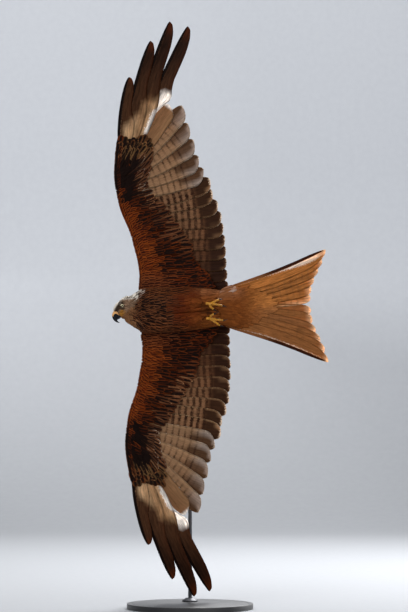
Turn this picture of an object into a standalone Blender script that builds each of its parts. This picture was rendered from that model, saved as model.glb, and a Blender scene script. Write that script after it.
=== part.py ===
"""A red kite in a steep banked turn, life size, held by a plain museum stand.

The bird is modelled in its own frame and then posed as one: +X runs aft along the back, +Y is dorsal and
+Z is to the bird's left, so the left wing ends up above and the belly faces -Y. Lengths are in metres.
"""

import math
import random

import bmesh
import bpy
from mathutils import Matrix, Vector

MM = 0.001
GAP = 0.3 * MM  # between pieces that touch

# The pose: wings upright, tail a little higher than the head, belly towards -Y
CLIMB = math.radians(2.35)
BIRD_HEIGHT = 900 * MM
BIRD_AFT = -45 * MM  # where the bird's own zero lies along X
BIRD_DORSAL = -32 * MM  # and along Y

# Stand
BASE_RADIUS = 190 * MM
BASE_THICK = 16 * MM
BASE_BEVEL = 3 * MM
ROD_RADIUS = 6 * MM
ROD_DORSAL = 78 * MM
ROD_BEND = 40 * MM
COLLAR_RADIUS = 24 * MM
COLLAR_HEIGHT = 11 * MM

# Torso and neck: aft, half width, height above and depth below the axis, in mm
TORSO = (
    (-163, 12, 8, 5),
    (-156, 28, 17, 9),
    (-146, 37, 25, 14),
    (-134, 44.5, 33, 21),
    (-120, 54, 41, 32),
    (-104, 64, 46, 45),
    (-80, 69, 49, 57),
    (-40, 70, 51, 62),
    (10, 69, 49, 60),
    (60, 66, 43, 53),
    (105, 61, 35, 43),
    (145, 53, 27, 33),
    (178, 40, 18, 22),
    (196, 22, 10, 12),
)
NECK_CUT = -100 * MM  # the neck and the torso part here
NECK_SHIFT = 3 * MM  # the neck leans this far to the left at its front
TORSO_RINGS, TORSO_SIDES = 24, 18

# Head: turned down by this angle, its left side to the belly side
HEAD_TURN = math.radians(40)
EYE_LEVEL = Vector((-157.5, 4, 18)) * MM
# Forward of the eye, top, bottom and half width, in mm
HEAD = (
    (-41, 6, -20, 9),
    (-35, 10, -25, 15),
    (-24, 14.5, -33, 20.5),
    (-9, 17, -38, 22.5),
    (6, 16, -39, 21.5),
    (17, 13, -36.5, 17.5),
    (25, 9.5, -31, 13),
    (31, 5, -22, 9),
)
EYE_RADIUS = 6.4 * MM
EYE_OUT = 15.2 * MM
# Upper bill along its curve: forward, up, half height, half width, in mm
BILL = (
    (18, -6, 10.5, 10.5),
    (28, -6.5, 9.4, 8.6),
    (36.5, -9, 8, 6.6),
    (42.3, -14.5, 5.6, 4.6),
    (44, -21, 3.6, 2.9),
    (42.8, -27, 1.9, 1.6),
    (40.6, -31.5, 0.7, 0.6),
)
CERE_END = 35.5 * MM
# Lower bill in the same terms
CHIN_BILL = (
    (15, -17.5, 4.4, 9.4),
    (24, -18, 4.0, 7.8),
    (32, -19.2, 3.3, 5.6),
    (38.5, -21, 1.5, 2.4),
)
NOSTRIL = Vector((32.5, -3.2)) * MM

# Wing core: span, leading edge, rear edge and half thickness, in mm
CORE = (
    (40, -106, 78, 15),
    (70, -104, 70, 15),
    (110, -100, 60, 14),
    (145, -103, 44, 13),
    (180, -110, 28, 12.5),
    (240, -124, 4, 11.5),
    (300, -147, -42, 10.5),
    (345, -157, -74, 9.5),
    (400, -164, -98, 8.5),
    (450, -161, -110, 7.5),
    (485, -156, -122, 6.5),
    (508, -152, -136, 5),
)
CORE_PROFILE = ((0.10, 0.62), (0.36, 1.0), (0.72, 0.84), (1.0, 0.52))  # shares of chord and thickness
# Rise of the whole wing and depth of its arch against span, middle and half chord, in mm
RISE = ((40, 24), (200, 33), (400, 45), (550, 50), (700, 58), (870, 86))
ARCH = ((40, 20), (300, 16), (500, 9), (700, 5), (870, 4))
MIDDLE = ((40, 30), (300, 0), (450, -33), (600, -45), (870, -20))
HALF_CHORD = ((40, 130), (300, 150), (450, 125), (600, 95), (870, 80))

# Flight feathers, in mm: root aft and span, tip aft and span, leading and trailing vane, forward bow
PRIMARIES = (
    ((-145, 466), (-110, 706), 9, 26, 10),
    ((-144, 457), (-42, 814), 9, 31, 8),
    ((-142, 446), (20, 870), 9, 33, 3),
    ((-140, 434), (70, 855), 9, 35, 0),
    ((-138, 422), (-3, 602), 15, 40, 0),
    ((-136, 409), (46, 613), 16, 40, 0),
    ((-134, 396), (61, 559), 17, 41, 0),
    ((-132, 382), (76, 509), 18, 42, 0),
    ((-129, 368), (89, 459), 18, 43, 0),
    ((-124, 354), (103, 420), 18, 44, 0),
)
FINGERS = 4  # the outer primaries, whose trailing vane narrows halfway out
FINGER_NOTCH, FINGER_BASE = 0.53, 1.58  # where it does, and how much wider it is up to there
SECONDARIES = 10
SECONDARY_ROOTS, SECONDARY_TIPS = (338, 80), (384, 66)
SECONDARY_LEAD, SECONDARY_TRAIL = 18, (42, 22)
TRAILING_EDGE = (
    (60, 163), (130, 161), (200, 160), (250, 155), (300, 147), (345, 128), (386, 121)
)
FLIGHT_OUTLINE = ((0, 0.4), (0.12, 0.7), (0.35, 1), (0.8, 0.97), (0.94, 0.74), (1, 0.42))
FINGER_OUTLINE = ((0, 0.4), (0.1, 0.66), (0.32, 1), (0.8, 0.94), (0.93, 0.7), (1, 0.15))
COVERT_OUTLINE = ((0, 0.4), (0.5, 1), (1, 0.5))
VANE_THICK = 0.7 * MM
WING_TILT = 0.1  # how far a vane turns about its shaft, as a slope
SECONDARY_INSET = 32  # of a root from the rear edge of the core
GREATER_LENGTH, GREATER_LIFT, GREATER_WIDTHS = 92, 4.8, (13, 25)
MEDIAN_LENGTH, MEDIAN_LIFT, MEDIAN_FORWARD, MEDIAN_WIDTHS = 66, 8.2, 34, (13, 22)
# Where the cross lines of a vane's grid fall along it
FLIGHT_STEPS = (0, 0.12, 0.35, 0.8, 0.94, 1)
FINGER_STEPS = (0, 0.1, 0.3, 0.5, 0.57, 0.8, 0.93, 1)
COVERT_STEPS = (0, 0.5, 1)

# Tail: root aft and side, tip aft and side, outer and inner vane, bow, from the middle pair out, in mm
TAIL = (
    ((168, 8), (408, 19), 18, 20, 0),
    ((166, 18), (411, 50), 16, 28, 0),
    ((163, 28), (420, 81), 15, 30, -2),
    ((160, 38), (433, 110), 14, 30, -4),
    ((156, 47), (446, 137), 13, 30, -7),
    ((151, 56), (459, 161), 9, 30, -10),
)
TAIL_SPREAD = {1: -0.005, -1: 0.05}  # how much further each half is spread at its outer feather
TAIL_TILT = 0.11
TAIL_LEVEL = 6
TAIL_CORE = ((118, 50, 18), (150, 66, 17), (180, 68, 13), (210, 60, 9.5), (240, 40, 6), (258, 18, 3))
TAIL_COVERTS = 4  # on each side, above and below
TAIL_COVERT_LIFT = 7.5

# Legs: thigh from the flank to the heel, then shank, toes and claws; aft, side, ventral, in mm
THIGH_TOP, THIGH_END = (34, 30, -30), (88, 22.5, -58)
THIGH_RADII = (15, 21, 20, 15, 9.5, 7)
FEET_SHIFT = -6  # both feet hang a little to the lower side
FEET_SWAY = 0.17  # and their toes turn to that side, as a slope
SHANK = (84, 22.5, -58), (106, 22.5, -64)
SHANK_RADII = (4.8, 4.6)
TOES = (  # outer, middle, inner and hind toe, each by its knuckles
    ((104, 22.5, -64), (117, 29, -71), (126, 35, -71), (132, 38, -67)),
    ((104, 22.5, -64), (119, 23, -73), (132, 22.5, -73), (141, 22, -67)),
    ((104, 22.5, -64), (107, 13.5, -71), (115, 7.5, -69)),
    ((103, 22.5, -63), (110, 21, -54), (119, 20, -51.5)),
)
TOE_RADII = (4.3, 3.1)
CLAW_LENGTHS = (13, 14, 9, 12)
CLAW_RADIUS, CLAW_HOOK = 2.3, 0.36  # the hook as a share of the length
CLAW_CURLS = ((0.5, 1, 0), (0.5, 1, 0), (0.9, 0.7, 0), (1, -0.1, 0))

# Colours as sRGB, with roughness
PAINTS = {
    "rufous": ((0.42, 0.20, 0.08), 0.75),
    "grey_head": ((0.66, 0.61, 0.55), 0.75),
    "dark_wing": ((0.28, 0.18, 0.12), 0.7),
    "tail": ((0.66, 0.38, 0.20), 0.7),
    "bill": ((0.05, 0.05, 0.06), 0.35),
    "yellow": ((0.85, 0.60, 0.12), 0.5),
    "iris": ((0.86, 0.78, 0.52), 0.15),
    "stand": ((0.10, 0.10, 0.11), 0.4),
}


def clear_scene():
    for obj in list(bpy.data.objects):
        bpy.data.objects.remove(obj)


def smooth(table, x, column=1):
    """The value at x of a smooth curve through a short table's rows, whose first number is x."""
    last = len(table) - 1
    x = min(max(x, table[0][0]), table[last][0])
    i = 0
    while i < last - 1 and x > table[i + 1][0]:
        i += 1

    def slope(k):
        low, high = max(k - 1, 0), min(k + 1, last)
        return (table[high][column] - table[low][column]) / (table[high][0] - table[low][0])

    step = table[i + 1][0] - table[i][0]
    t = (x - table[i][0]) / step
    return (
        (2 * t**3 - 3 * t**2 + 1) * table[i][column]
        + (t**3 - 2 * t**2 + t) * step * slope(i)
        + (3 * t**2 - 2 * t**3) * table[i + 1][column]
        + (t**3 - t**2) * step * slope(i + 1)
    )


def blend(a, b, t):
    return a + (b - a) * t


def paint(obj, name):
    """Gives the object its own material in one of the named colours."""
    colour, roughness = PAINTS[name]
    material = bpy.data.materials.new(obj.name)
    material.use_nodes = True
    shader = material.node_tree.nodes["Principled BSDF"]
    shader.inputs["Base Color"].default_value = (*(c**2.2 for c in colour), 1)
    shader.inputs["Roughness"].default_value = roughness
    obj.data.materials.clear()
    obj.data.materials.append(material)
    return obj


def collection(name):
    found = bpy.data.collections.get(name)
    if found is None:
        found = bpy.data.collections.new(name)
        bpy.context.scene.collection.children.link(found)
    return found


def finish_mesh(name, bm, group="red_kite"):
    """An object from a closed bmesh, with its faces pointing out."""
    bmesh.ops.recalc_face_normals(bm, faces=bm.faces)
    if bm.calc_volume(signed=True) < 0:
        bmesh.ops.reverse_faces(bm, faces=bm.faces)
    mesh = bpy.data.meshes.new(name)
    bm.to_mesh(mesh)
    bm.free()
    obj = bpy.data.objects.new(name, mesh)
    collection(group).objects.link(obj)
    return obj


def spindle(name, rings, sides, section, group="red_kite"):
    """A sphere reshaped into a long body. section(t, angle) is the point at t; angle is None at an end."""
    bm = bmesh.new()
    bmesh.ops.create_uvsphere(bm, u_segments=sides, v_segments=rings, radius=1)
    for vert in bm.verts:
        t = math.acos(max(-1.0, min(1.0, vert.co.z))) / math.pi
        at_pole = math.hypot(vert.co.x, vert.co.y) < 1e-4
        vert.co = section(t, None if at_pole else math.atan2(vert.co.y, vert.co.x))
    return finish_mesh(name, bm, group)


def loft(name, sections, group="red_kite"):
    """A closed body through rings of points, each ring with as many points."""
    bm = bmesh.new()
    rings = [[bm.verts.new(point) for point in ring] for ring in sections]
    for near, far in zip(rings, rings[1:]):
        for i in range(len(near)):
            j = (i + 1) % len(near)
            bm.faces.new((near[i], near[j], far[j], far[i]))
    caps = [bm.faces.new(rings[0][::-1]), bm.faces.new(rings[-1])]
    bmesh.ops.triangulate(bm, faces=caps)
    return finish_mesh(name, bm, group)


def tube(name, points, radii, sides=7, group="red_kite"):
    """A tapering round limb through a few points, with its radius at each."""
    rings = []
    for i, point in enumerate(points):
        ahead = points[min(i + 1, len(points) - 1)] - points[max(i - 1, 0)]
        across = ahead.cross(Vector((0.3, 1, 0.2))).normalized()
        up = across.cross(ahead).normalized()
        turns = [2 * math.pi * k / sides for k in range(sides)]
        rings.append([point + (across * math.cos(a) + up * math.sin(a)) * radii[i] for a in turns])
    return loft(name, rings, group)


def boolean(obj, operation, others):
    """Joins the others to obj, or cuts them from it, applies the result and removes the others."""
    operands = bpy.data.collections.new("operands")
    bpy.context.scene.collection.children.link(operands)
    for other in others:
        operands.objects.link(other)
    modifier = obj.modifiers.new(operation.lower(), "BOOLEAN")
    modifier.operation = operation
    modifier.operand_type = "COLLECTION"
    modifier.collection = operands
    modifier.solver = "MANIFOLD"
    graph = bpy.context.evaluated_depsgraph_get()
    mesh = bpy.data.meshes.new_from_object(obj.evaluated_get(graph))
    obj.modifiers.clear()
    obj.data = mesh
    for other in others:
        bpy.data.objects.remove(other)
    bpy.data.collections.remove(operands)
    keep_largest(obj)
    return obj


def keep_largest(obj):
    """Drops every closed surface but the largest, such as a scrap or a sealed hollow."""
    bm = bmesh.new()
    bm.from_mesh(obj.data)
    bmesh.ops.triangulate(bm, faces=bm.faces)
    left = set(bm.faces)
    shells = []
    while left:
        stack = [left.pop()]
        shell = []
        while stack:
            face = stack.pop()
            shell.append(face)
            for edge in face.edges:
                for other in edge.link_faces:
                    if other in left:
                        left.remove(other)
                        stack.append(other)
        corners = [[v.co for v in face.verts] for face in shell]
        shells.append((abs(sum(a.dot(b.cross(c)) for a, b, c in corners)), shell))
    shells.sort(key=lambda entry: entry[0])
    for _, shell in shells[:-1]:
        bmesh.ops.delete(bm, geom=shell, context="FACES")
    bm.to_mesh(obj.data)
    bm.free()


def grown_copy(obj, by=GAP):
    """A cutter in the shape of obj, larger by the gap that touching pieces keep."""
    bm = bmesh.new()
    bm.from_mesh(obj.data)
    bm.normal_update()
    moves = [vert.normal * by for vert in bm.verts]
    for vert, move in zip(bm.verts, moves):
        vert.co += move
    cutter = finish_mesh(obj.name + "_cutter", bm, "cutters")
    cutter.matrix_world = obj.matrix_world
    cutter.hide_render = True
    cutter.display_type = "WIRE"
    return cutter


def block(name, low, high):
    """A box-shaped cutter between two corners."""
    bm = bmesh.new()
    bmesh.ops.create_cube(bm, size=1)
    low, high = Vector(low), Vector(high)
    for vert in bm.verts:
        vert.co = (low + high) / 2 + Vector(c * w for c, w in zip(vert.co, high - low))
    cutter = finish_mesh(name, bm, "cutters")
    cutter.hide_render = True
    return cutter


# Torso and neck


def torso_point(t, angle):
    """A point of the body's outside. t runs from neck to tail, angle from the left side over the back."""
    aft = blend(TORSO[0][0], TORSO[-1][0], t)
    lean = smooth(((-146, NECK_SHIFT), (-104, NECK_SHIFT * 0.6), (-40, 0)), aft)
    if angle is None:
        return Vector((aft * MM, 0, lean))
    wide = smooth(TORSO, aft, 1) * math.cos(angle)
    tall = smooth(TORSO, aft, 2 if math.sin(angle) > 0 else 3) * math.sin(angle)
    return Vector((aft * MM, tall * MM, lean + wide * MM))


def make_body():
    """The torso and the neck: one shape, parted by a thin cut."""
    whole = spindle("torso", TORSO_RINGS, TORSO_SIDES, torso_point)
    neck = whole.copy()
    neck.data = whole.data.copy()
    neck.name = "neck"
    collection("red_kite").objects.link(neck)
    reach = 0.4
    boolean(whole, "DIFFERENCE", [block("front", (-reach, -reach, -reach), (NECK_CUT, reach, reach))])
    boolean(neck, "DIFFERENCE", [block("rear", (NECK_CUT - GAP, -reach, -reach), (reach, reach, reach))])
    return paint(whole, "rufous"), paint(neck, "grey_head")


# Head, eyes and bill


def head_point(forward, up, out=0.0):
    """A place on the head, in metres from between the eyes: forward, up, and out to the bird's left."""
    ahead = Vector((-math.cos(HEAD_TURN), 0, -math.sin(HEAD_TURN)))
    crown = Vector((-math.sin(HEAD_TURN), 0, math.cos(HEAD_TURN)))
    left = Vector((0, -1, 0))
    return EYE_LEVEL + ahead * forward + crown * up + left * out


def head_section(t, angle):
    forward = blend(HEAD[0][0], HEAD[-1][0], t)
    top, bottom = smooth(HEAD, forward, 1), smooth(HEAD, forward, 2)
    middle = (top + bottom) / 2
    if angle is None:
        return head_point(forward * MM, middle * MM)
    up = middle + (top - bottom) / 2 * math.sin(angle)
    return head_point(forward * MM, up * MM, smooth(HEAD, forward, 3) * math.cos(angle) * MM)


def bill_section(rows):
    """The section function of one half of the bill, square to its curve."""
    indexed = tuple((i, *row) for i, row in enumerate(rows))
    last = len(rows) - 1

    def section(t, angle):
        i = t * last
        forward, up = smooth(indexed, i, 1), smooth(indexed, i, 2)
        if angle is None:
            return head_point(forward * MM, up * MM)
        near, far = max(i - 0.3, 0), min(i + 0.3, last)
        along = Vector((smooth(indexed, far, 1) - smooth(indexed, near, 1),
                        smooth(indexed, far, 2) - smooth(indexed, near, 2))).normalized()
        tall = smooth(indexed, i, 3) * math.sin(angle)
        wide = smooth(indexed, i, 4) * math.cos(angle)
        return head_point((forward - along.y * tall) * MM, (up + along.x * tall) * MM, wide * MM)

    return section


def ball(name, centre, radius, sides=14, group="red_kite"):
    bm = bmesh.new()
    bmesh.ops.create_uvsphere(bm, u_segments=sides, v_segments=sides // 2 + 2, radius=radius)
    for vert in bm.verts:
        vert.co += centre
    return finish_mesh(name, bm, group)


def eyelid(side):
    """A soft ring of lid round one eye."""
    bm = bmesh.new()
    ring, bead, turns, beads = 6.3 * MM, 1.5 * MM, 16, 6
    rows = []
    for i in range(turns):
        a = 2 * math.pi * i / turns
        row = []
        for j in range(beads):
            b = 2 * math.pi * j / beads
            reach = ring + bead * math.cos(b)
            out = EYE_OUT + 3.4 * MM + bead * math.sin(b)
            spot = head_point(reach * math.cos(a), reach * math.sin(a) * 0.92, side * out)
            row.append(bm.verts.new(spot))
        rows.append(row)
    for i in range(turns):
        near, far = rows[i], rows[(i + 1) % turns]
        for j in range(beads):
            k = (j + 1) % beads
            bm.faces.new((near[j], near[k], far[k], far[j]))
    return finish_mesh("lid", bm, "operands_lids")


def make_head():
    """The head with its lids and brows, the eyes, the cere, and the two halves of the bill."""
    head = spindle("head", 16, 18, head_section)
    upper = spindle("beak_upper", 14, 12, bill_section(BILL))
    lower = spindle("beak_lower", 8, 10, bill_section(CHIN_BILL))
    boolean(upper, "DIFFERENCE", [grown_copy(lower)])
    brows = []
    for side in (1, -1):
        places = ((-7, 9.5, 18.5), (2, 8.6, 19.6), (12, 5.6, 17))
        points = [head_point(f * MM, u * MM, side * o * MM) for f, u, o in places]
        brows.append(tube("brow", points, [1.2 * MM, 2.4 * MM, 1.4 * MM], 6, "operands_brows"))
    boolean(head, "UNION", [eyelid(1), eyelid(-1)] + brows)
    eyes = []
    for name, side in (("eye_left", 1), ("eye_right", -1)):
        eyes.append(ball(name, head_point(0, 0, side * EYE_OUT), EYE_RADIUS))
        boolean(head, "DIFFERENCE", [grown_copy(eyes[-1])])
    cere = upper.copy()
    cere.data = upper.data.copy()
    cere.name = "cere"
    collection("red_kite").objects.link(cere)
    reach = 0.2
    for obj, low, high in ((cere, CERE_END, reach), (upper, -reach, CERE_END + GAP)):
        slab = block("slab", (-high, -reach, -reach), (-low, reach, reach))
        slab.data.transform(Matrix.Translation(EYE_LEVEL) @ Matrix.Rotation(-HEAD_TURN, 4, "Y"))
        boolean(obj, "DIFFERENCE", [slab])
    nostrils = []
    for side in (1, -1):
        hole = ball("nostril", head_point(NOSTRIL.x, NOSTRIL.y, side * 7.6 * MM), 1.7 * MM, 8, "cutters")
        hole.hide_render = True
        nostrils.append(hole)
    boolean(cere, "DIFFERENCE", nostrils)
    return head, eyes, cere, upper, lower


# Wings


def wing_level(aft, span):
    """Height of the wing's middle surface, in mm."""
    u = (aft - smooth(MIDDLE, span)) / smooth(HALF_CHORD, span)
    return smooth(RISE, span) + smooth(ARCH, span) * (1 - min(u * u, 1.6))


def vane(name, root, tip, widths, outline, steps, level, tilt, side, lift=(0, 0), bow=0.0, base=1.0):
    """One thin feather blade: a strip of triangles given a thickness.

    Places are (aft, span) in mm. widths are those of the leading or outer vane and of the other one, which is
    base times as wide as far as the notch.
    """
    root, tip = Vector(root), Vector(tip)
    along = (tip - root).normalized()
    ahead = Vector((-along.y, along.x))  # square to the shaft, to the leading or outer side
    bm = bmesh.new()
    bmesh.ops.create_grid(bm, x_segments=len(steps) - 1, y_segments=1, size=1)
    for vert in bm.verts:
        t = steps[round((vert.co.x + 1) / 2 * (len(steps) - 1))]
        centre = root.lerp(tip, t) + ahead * bow * 4 * t * (1 - t)
        off = smooth(outline, t) * (widths[0] if vert.co.y > 0 else -widths[1])
        if off < 0 and t < FINGER_NOTCH:
            off *= base
        place = centre + ahead * off
        height = level(place.x, place.y) + tilt * off + blend(lift[0], lift[1], t)
        vert.co = Vector((place.x, height, side * place.y)) * MM
    bmesh.ops.triangulate(bm, faces=bm.faces, quad_method="FIXED")
    bmesh.ops.recalc_face_normals(bm, faces=bm.faces)
    bmesh.ops.solidify(bm, geom=bm.faces[:], thickness=VANE_THICK)
    return finish_mesh(name, bm, "operands_vanes")


def flight_feathers():
    """Root, tip, leading and trailing vane, and bow of each flight feather, from the wing's tip inwards."""
    rows = list(PRIMARIES)
    for k in range(SECONDARIES):
        t = k / (SECONDARIES - 1)
        span = blend(*SECONDARY_ROOTS, t)
        tip_span = blend(*SECONDARY_TIPS, t)
        root = (smooth(CORE, span, 2) - SECONDARY_INSET, span)
        tip = (smooth(TRAILING_EDGE, tip_span), tip_span)
        rows.append((root, tip, SECONDARY_LEAD, blend(*SECONDARY_TRAIL, t * t), 0))
    return rows


def wing_core(side):
    """The arm and hand with their small coverts: an aerofoil from inside the shoulder to the hand's end."""
    rings = []
    for span in (40, 70, 100, 135, 180, 230, 280, 325, 365, 405, 445, 480, 508):
        lead, rear, thick = (smooth(CORE, span, c) for c in (1, 2, 3))
        ring = [(0, 0)] + list(CORE_PROFILE) + [(x, -h) for x, h in reversed(CORE_PROFILE)]
        points = []
        for x, h in ring:
            aft = blend(lead, rear, x)
            points.append(Vector((aft, wing_level(aft, span) + h * thick, side * span)) * MM)
        rings.append(points)
    return loft("wing", rings)


def make_wing(name, side, body):
    """One wing: core, flight feathers, and two tiers of coverts above and below, fused into one body."""
    core = wing_core(side)
    core.name = name
    draw = random.Random(7)
    vanes = []
    for k, (root, tip, lead, trail, bow) in enumerate(flight_feathers()):
        finger = k < FINGERS
        outline, steps = (FINGER_OUTLINE, FINGER_STEPS) if finger else (FLIGHT_OUTLINE, FLIGHT_STEPS)
        vanes.append(
            vane(f"remex_{k}", root, tip, (lead, trail), outline, steps, wing_level, WING_TILT, side,
                 bow=bow, base=FINGER_BASE if finger else 1.0)
        )
        root = Vector(root)
        along = (Vector(tip) - root).normalized()
        reach = (GREATER_LENGTH + draw.uniform(-4, 4)) * (0.8 if finger else 1)
        start = root - along * MEDIAN_FORWARD
        short = MEDIAN_LENGTH + draw.uniform(-4, 4)
        for sign in (1, -1):  # above and below
            if k >= 1:
                lift = (sign * 2.2, sign * GREATER_LIFT)
                vanes.append(vane("greater", root + along * 6, root + along * reach, GREATER_WIDTHS,
                                  COVERT_OUTLINE, COVERT_STEPS, wing_level, WING_TILT * 0.8, side, lift))
            if k >= FINGERS:
                lift = (sign * 4.5, sign * MEDIAN_LIFT)
                vanes.append(vane("median", start, start + along * short, MEDIAN_WIDTHS,
                                  COVERT_OUTLINE, COVERT_STEPS, wing_level, WING_TILT * 0.6, side, lift))
    boolean(core, "UNION", vanes)
    for piece in body:
        boolean(core, "DIFFERENCE", [grown_copy(piece)])
    return paint(core, "dark_wing")


# Tail


def tail_level(aft, span):
    """The tail's middle surface in mm: a shallow arch, highest along the middle."""
    return TAIL_LEVEL - 0.045 * abs(span) - 0.012 * (aft - 150)


def make_tail(torso):
    """The forked tail: a flat core, twelve feathers, and coverts above and below."""
    rings = []
    sides = 12
    for aft, wide, thick in TAIL_CORE:
        turns = [2 * math.pi * k / sides for k in range(sides)]
        rings.append([
            Vector((aft, tail_level(aft, 0) + thick * math.sin(a), wide * math.cos(a))) * MM for a in turns
        ])
    tail = loft("tail", rings)
    vanes = []
    for side in (1, -1):
        for k, (root, tip, outer, inner, bow) in enumerate(TAIL):
            reach = Vector(tip) - Vector(root)
            turn = TAIL_SPREAD[side] * k / (len(TAIL) - 1)
            tip = Vector(root) + Vector((reach.x - reach.y * turn, reach.y + reach.x * turn))
            vanes.append(vane("rectrix", root, tip, (outer, inner), FLIGHT_OUTLINE, FLIGHT_STEPS,
                              tail_level, TAIL_TILT, side, bow=bow))
        for k in range(TAIL_COVERTS):
            t = k / (TAIL_COVERTS - 1)
            start, end = (172 - 8 * t, blend(7, 50, t)), (276 - 28 * t, blend(9, 76, t))
            for sign in (1, -1):
                lift = (sign * 4, sign * TAIL_COVERT_LIFT)
                vanes.append(vane("tail_covert", start, end, (13, 13), COVERT_OUTLINE, COVERT_STEPS,
                                  tail_level, 0.05, side, lift))
    boolean(tail, "UNION", vanes)
    boolean(tail, "DIFFERENCE", [grown_copy(torso)])
    return paint(tail, "tail")


# Legs


def leg_place(point, side):
    """A place on one leg, given as aft, side and ventral depth in mm."""
    aft, out, deep = point
    return Vector((aft, deep, side * out + FEET_SHIFT - FEET_SWAY * max(aft - SHANK[0][0], 0))) * MM


def make_leg(label, side, torso):
    """A feathered thigh, a foot with four toes, and four claws."""
    top, end = Vector(THIGH_TOP), Vector(THIGH_END)
    count = len(THIGH_RADII)
    points = [leg_place(top.lerp(end, i / (count - 1)), side) for i in range(count)]
    leg = tube(f"leg_{label}", points, [r * MM for r in THIGH_RADII], 12)
    boolean(leg, "DIFFERENCE", [grown_copy(torso)])
    foot = tube(f"foot_{label}", [leg_place(p, side) for p in SHANK], [r * MM for r in SHANK_RADII], 8)
    toes = []
    claws = []
    for i, toe in enumerate(TOES):
        knuckles = [leg_place(p, side) for p in toe]
        radii = [blend(*TOE_RADII, k / (len(toe) - 1)) * MM for k in range(len(toe))]
        toes.append(tube("toe", knuckles, radii, 7, "operands_toes"))
        ahead = (knuckles[-1] - knuckles[-2]).normalized()
        start = knuckles[-1] + ahead * GAP
        curl = Vector(CLAW_CURLS[i]).normalized()
        long = CLAW_LENGTHS[i] * MM
        claw = [start + (ahead * u + curl * CLAW_HOOK * u * u) * long for u in (0, 0.35, 0.7, 1)]
        sizes = [CLAW_RADIUS * s * MM for s in (1, 0.78, 0.45, 0.12)]
        claws.append(tube(f"claw_{label}_{i + 1}", claw, sizes, 7))
    boolean(foot, "UNION", toes)
    boolean(foot, "DIFFERENCE", [grown_copy(leg)])
    for claw in claws:
        boolean(claw, "DIFFERENCE", [grown_copy(foot)])
        paint(claw, "bill")
    return paint(leg, "rufous"), paint(foot, "yellow"), claws


# Stand


def make_base():
    """A round base with a softened rim."""
    middle = (0, 0, BASE_THICK / 2)
    bpy.ops.mesh.primitive_cylinder_add(vertices=40, radius=BASE_RADIUS, depth=BASE_THICK, location=middle)
    base = bpy.context.object
    base.name = "stand_base"
    rim = base.modifiers.new("rim", "BEVEL")
    rim.width = BASE_BEVEL
    rim.segments = 1
    rim.limit_method = "ANGLE"
    return paint(base, "stand")


def make_rod():
    """A rod from the base, up behind the lower wing, that bends into the middle of the back."""
    top = BIRD_HEIGHT
    points = [Vector((0, ROD_DORSAL, BASE_THICK + GAP))]
    for k in range(7):
        a = math.pi / 2 * k / 6
        back, down = ROD_BEND * (1 - math.cos(a)), ROD_BEND * (1 - math.sin(a))
        points.append(Vector((0, ROD_DORSAL - back, top - down)))
    points.append(Vector((0, BIRD_DORSAL, top)))
    curve = bpy.data.curves.new("stand_rod", "CURVE")
    curve.dimensions = "3D"
    curve.bevel_depth = ROD_RADIUS
    curve.bevel_resolution = 2
    curve.use_fill_caps = True
    spline = curve.splines.new("POLY")
    spline.points.add(len(points) - 1)
    for spot, point in zip(spline.points, points):
        spot.co = (*point, 1)
    path = bpy.data.objects.new("rod_path", curve)
    collection("cutters").objects.link(path)
    mesh = bpy.data.meshes.new_from_object(path.evaluated_get(bpy.context.evaluated_depsgraph_get()))
    bpy.data.objects.remove(path)
    bm = bmesh.new()
    bm.from_mesh(mesh)
    bmesh.ops.remove_doubles(bm, verts=bm.verts, dist=1e-5)
    return finish_mesh("stand_rod", bm)


def make_collar():
    """A turned ring round the rod's foot."""
    inner = ROD_RADIUS + 2 * GAP
    low = BASE_THICK + GAP
    profile = ((inner, low + COLLAR_HEIGHT), (COLLAR_RADIUS * 0.55, low + COLLAR_HEIGHT),
               (COLLAR_RADIUS, low + COLLAR_HEIGHT * 0.35), (COLLAR_RADIUS, low), (inner, low))
    sides = 24
    bm = bmesh.new()
    rings = []
    for k in range(sides):
        a = 2 * math.pi * k / sides
        rings.append([bm.verts.new((r * math.cos(a), ROD_DORSAL + r * math.sin(a), z)) for r, z in profile])
    for k in range(sides):
        near, far = rings[k], rings[(k + 1) % sides]
        for j in range(len(profile)):
            i = (j + 1) % len(profile)
            bm.faces.new((near[j], near[i], far[i], far[j]))
    return paint(finish_mesh("stand_collar", bm), "stand")


def main():
    clear_scene()
    torso, neck = make_body()
    head, eyes, cere, upper, lower = make_head()
    boolean(neck, "DIFFERENCE", [grown_copy(head)])
    boolean(head, "DIFFERENCE", [grown_copy(cere), grown_copy(lower)])
    bird = [torso, neck, paint(head, "grey_head"), paint(cere, "yellow")]
    bird += [paint(upper, "bill"), paint(lower, "bill")]
    bird += [paint(eye, "iris") for eye in eyes]
    for label, side in (("left", 1), ("right", -1)):
        bird.append(make_wing(f"wing_{label}", side, (torso, neck)))
        leg, foot, claws = make_leg(label, side, torso)
        bird += [leg, foot, *claws]
    bird.append(make_tail(torso))

    pose = bpy.data.objects.new("flight_pose", None)
    collection("red_kite").objects.link(pose)
    pose.location = (BIRD_AFT, BIRD_DORSAL, BIRD_HEIGHT)
    pose.rotation_euler = (0, -CLIMB, 0)
    for obj in bird:
        obj.parent = pose
    bpy.context.view_layer.update()

    make_base()
    make_collar()
    rod = make_rod()
    cutter = grown_copy(torso)
    bpy.context.view_layer.update()
    paint(boolean(rod, "DIFFERENCE", [cutter]), "stand")
    for obj in collection("red_kite").objects:
        if obj.type == "MESH":
            obj.data.shade_smooth()
            obj.data.set_sharp_from_angle(angle=math.radians(40))


main()
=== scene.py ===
# %% [markdown]
# # A red kite in a steep turn, as a museum mount
#
# The bird lies on its side in the air with its belly to us, as a kite does when it wheels overhead. The
# CAD frame already holds its measured solids. This notebook dresses them: one skin over the flesh, then
# the feathers in the order in which they grow, and at last the bare parts, the stand and the studio.

# %% The frame
import math
from contextlib import contextmanager
from functools import partial

import bmesh
import bpy
import numpy as np
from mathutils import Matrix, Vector
from mathutils.bvhtree import BVHTree


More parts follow.
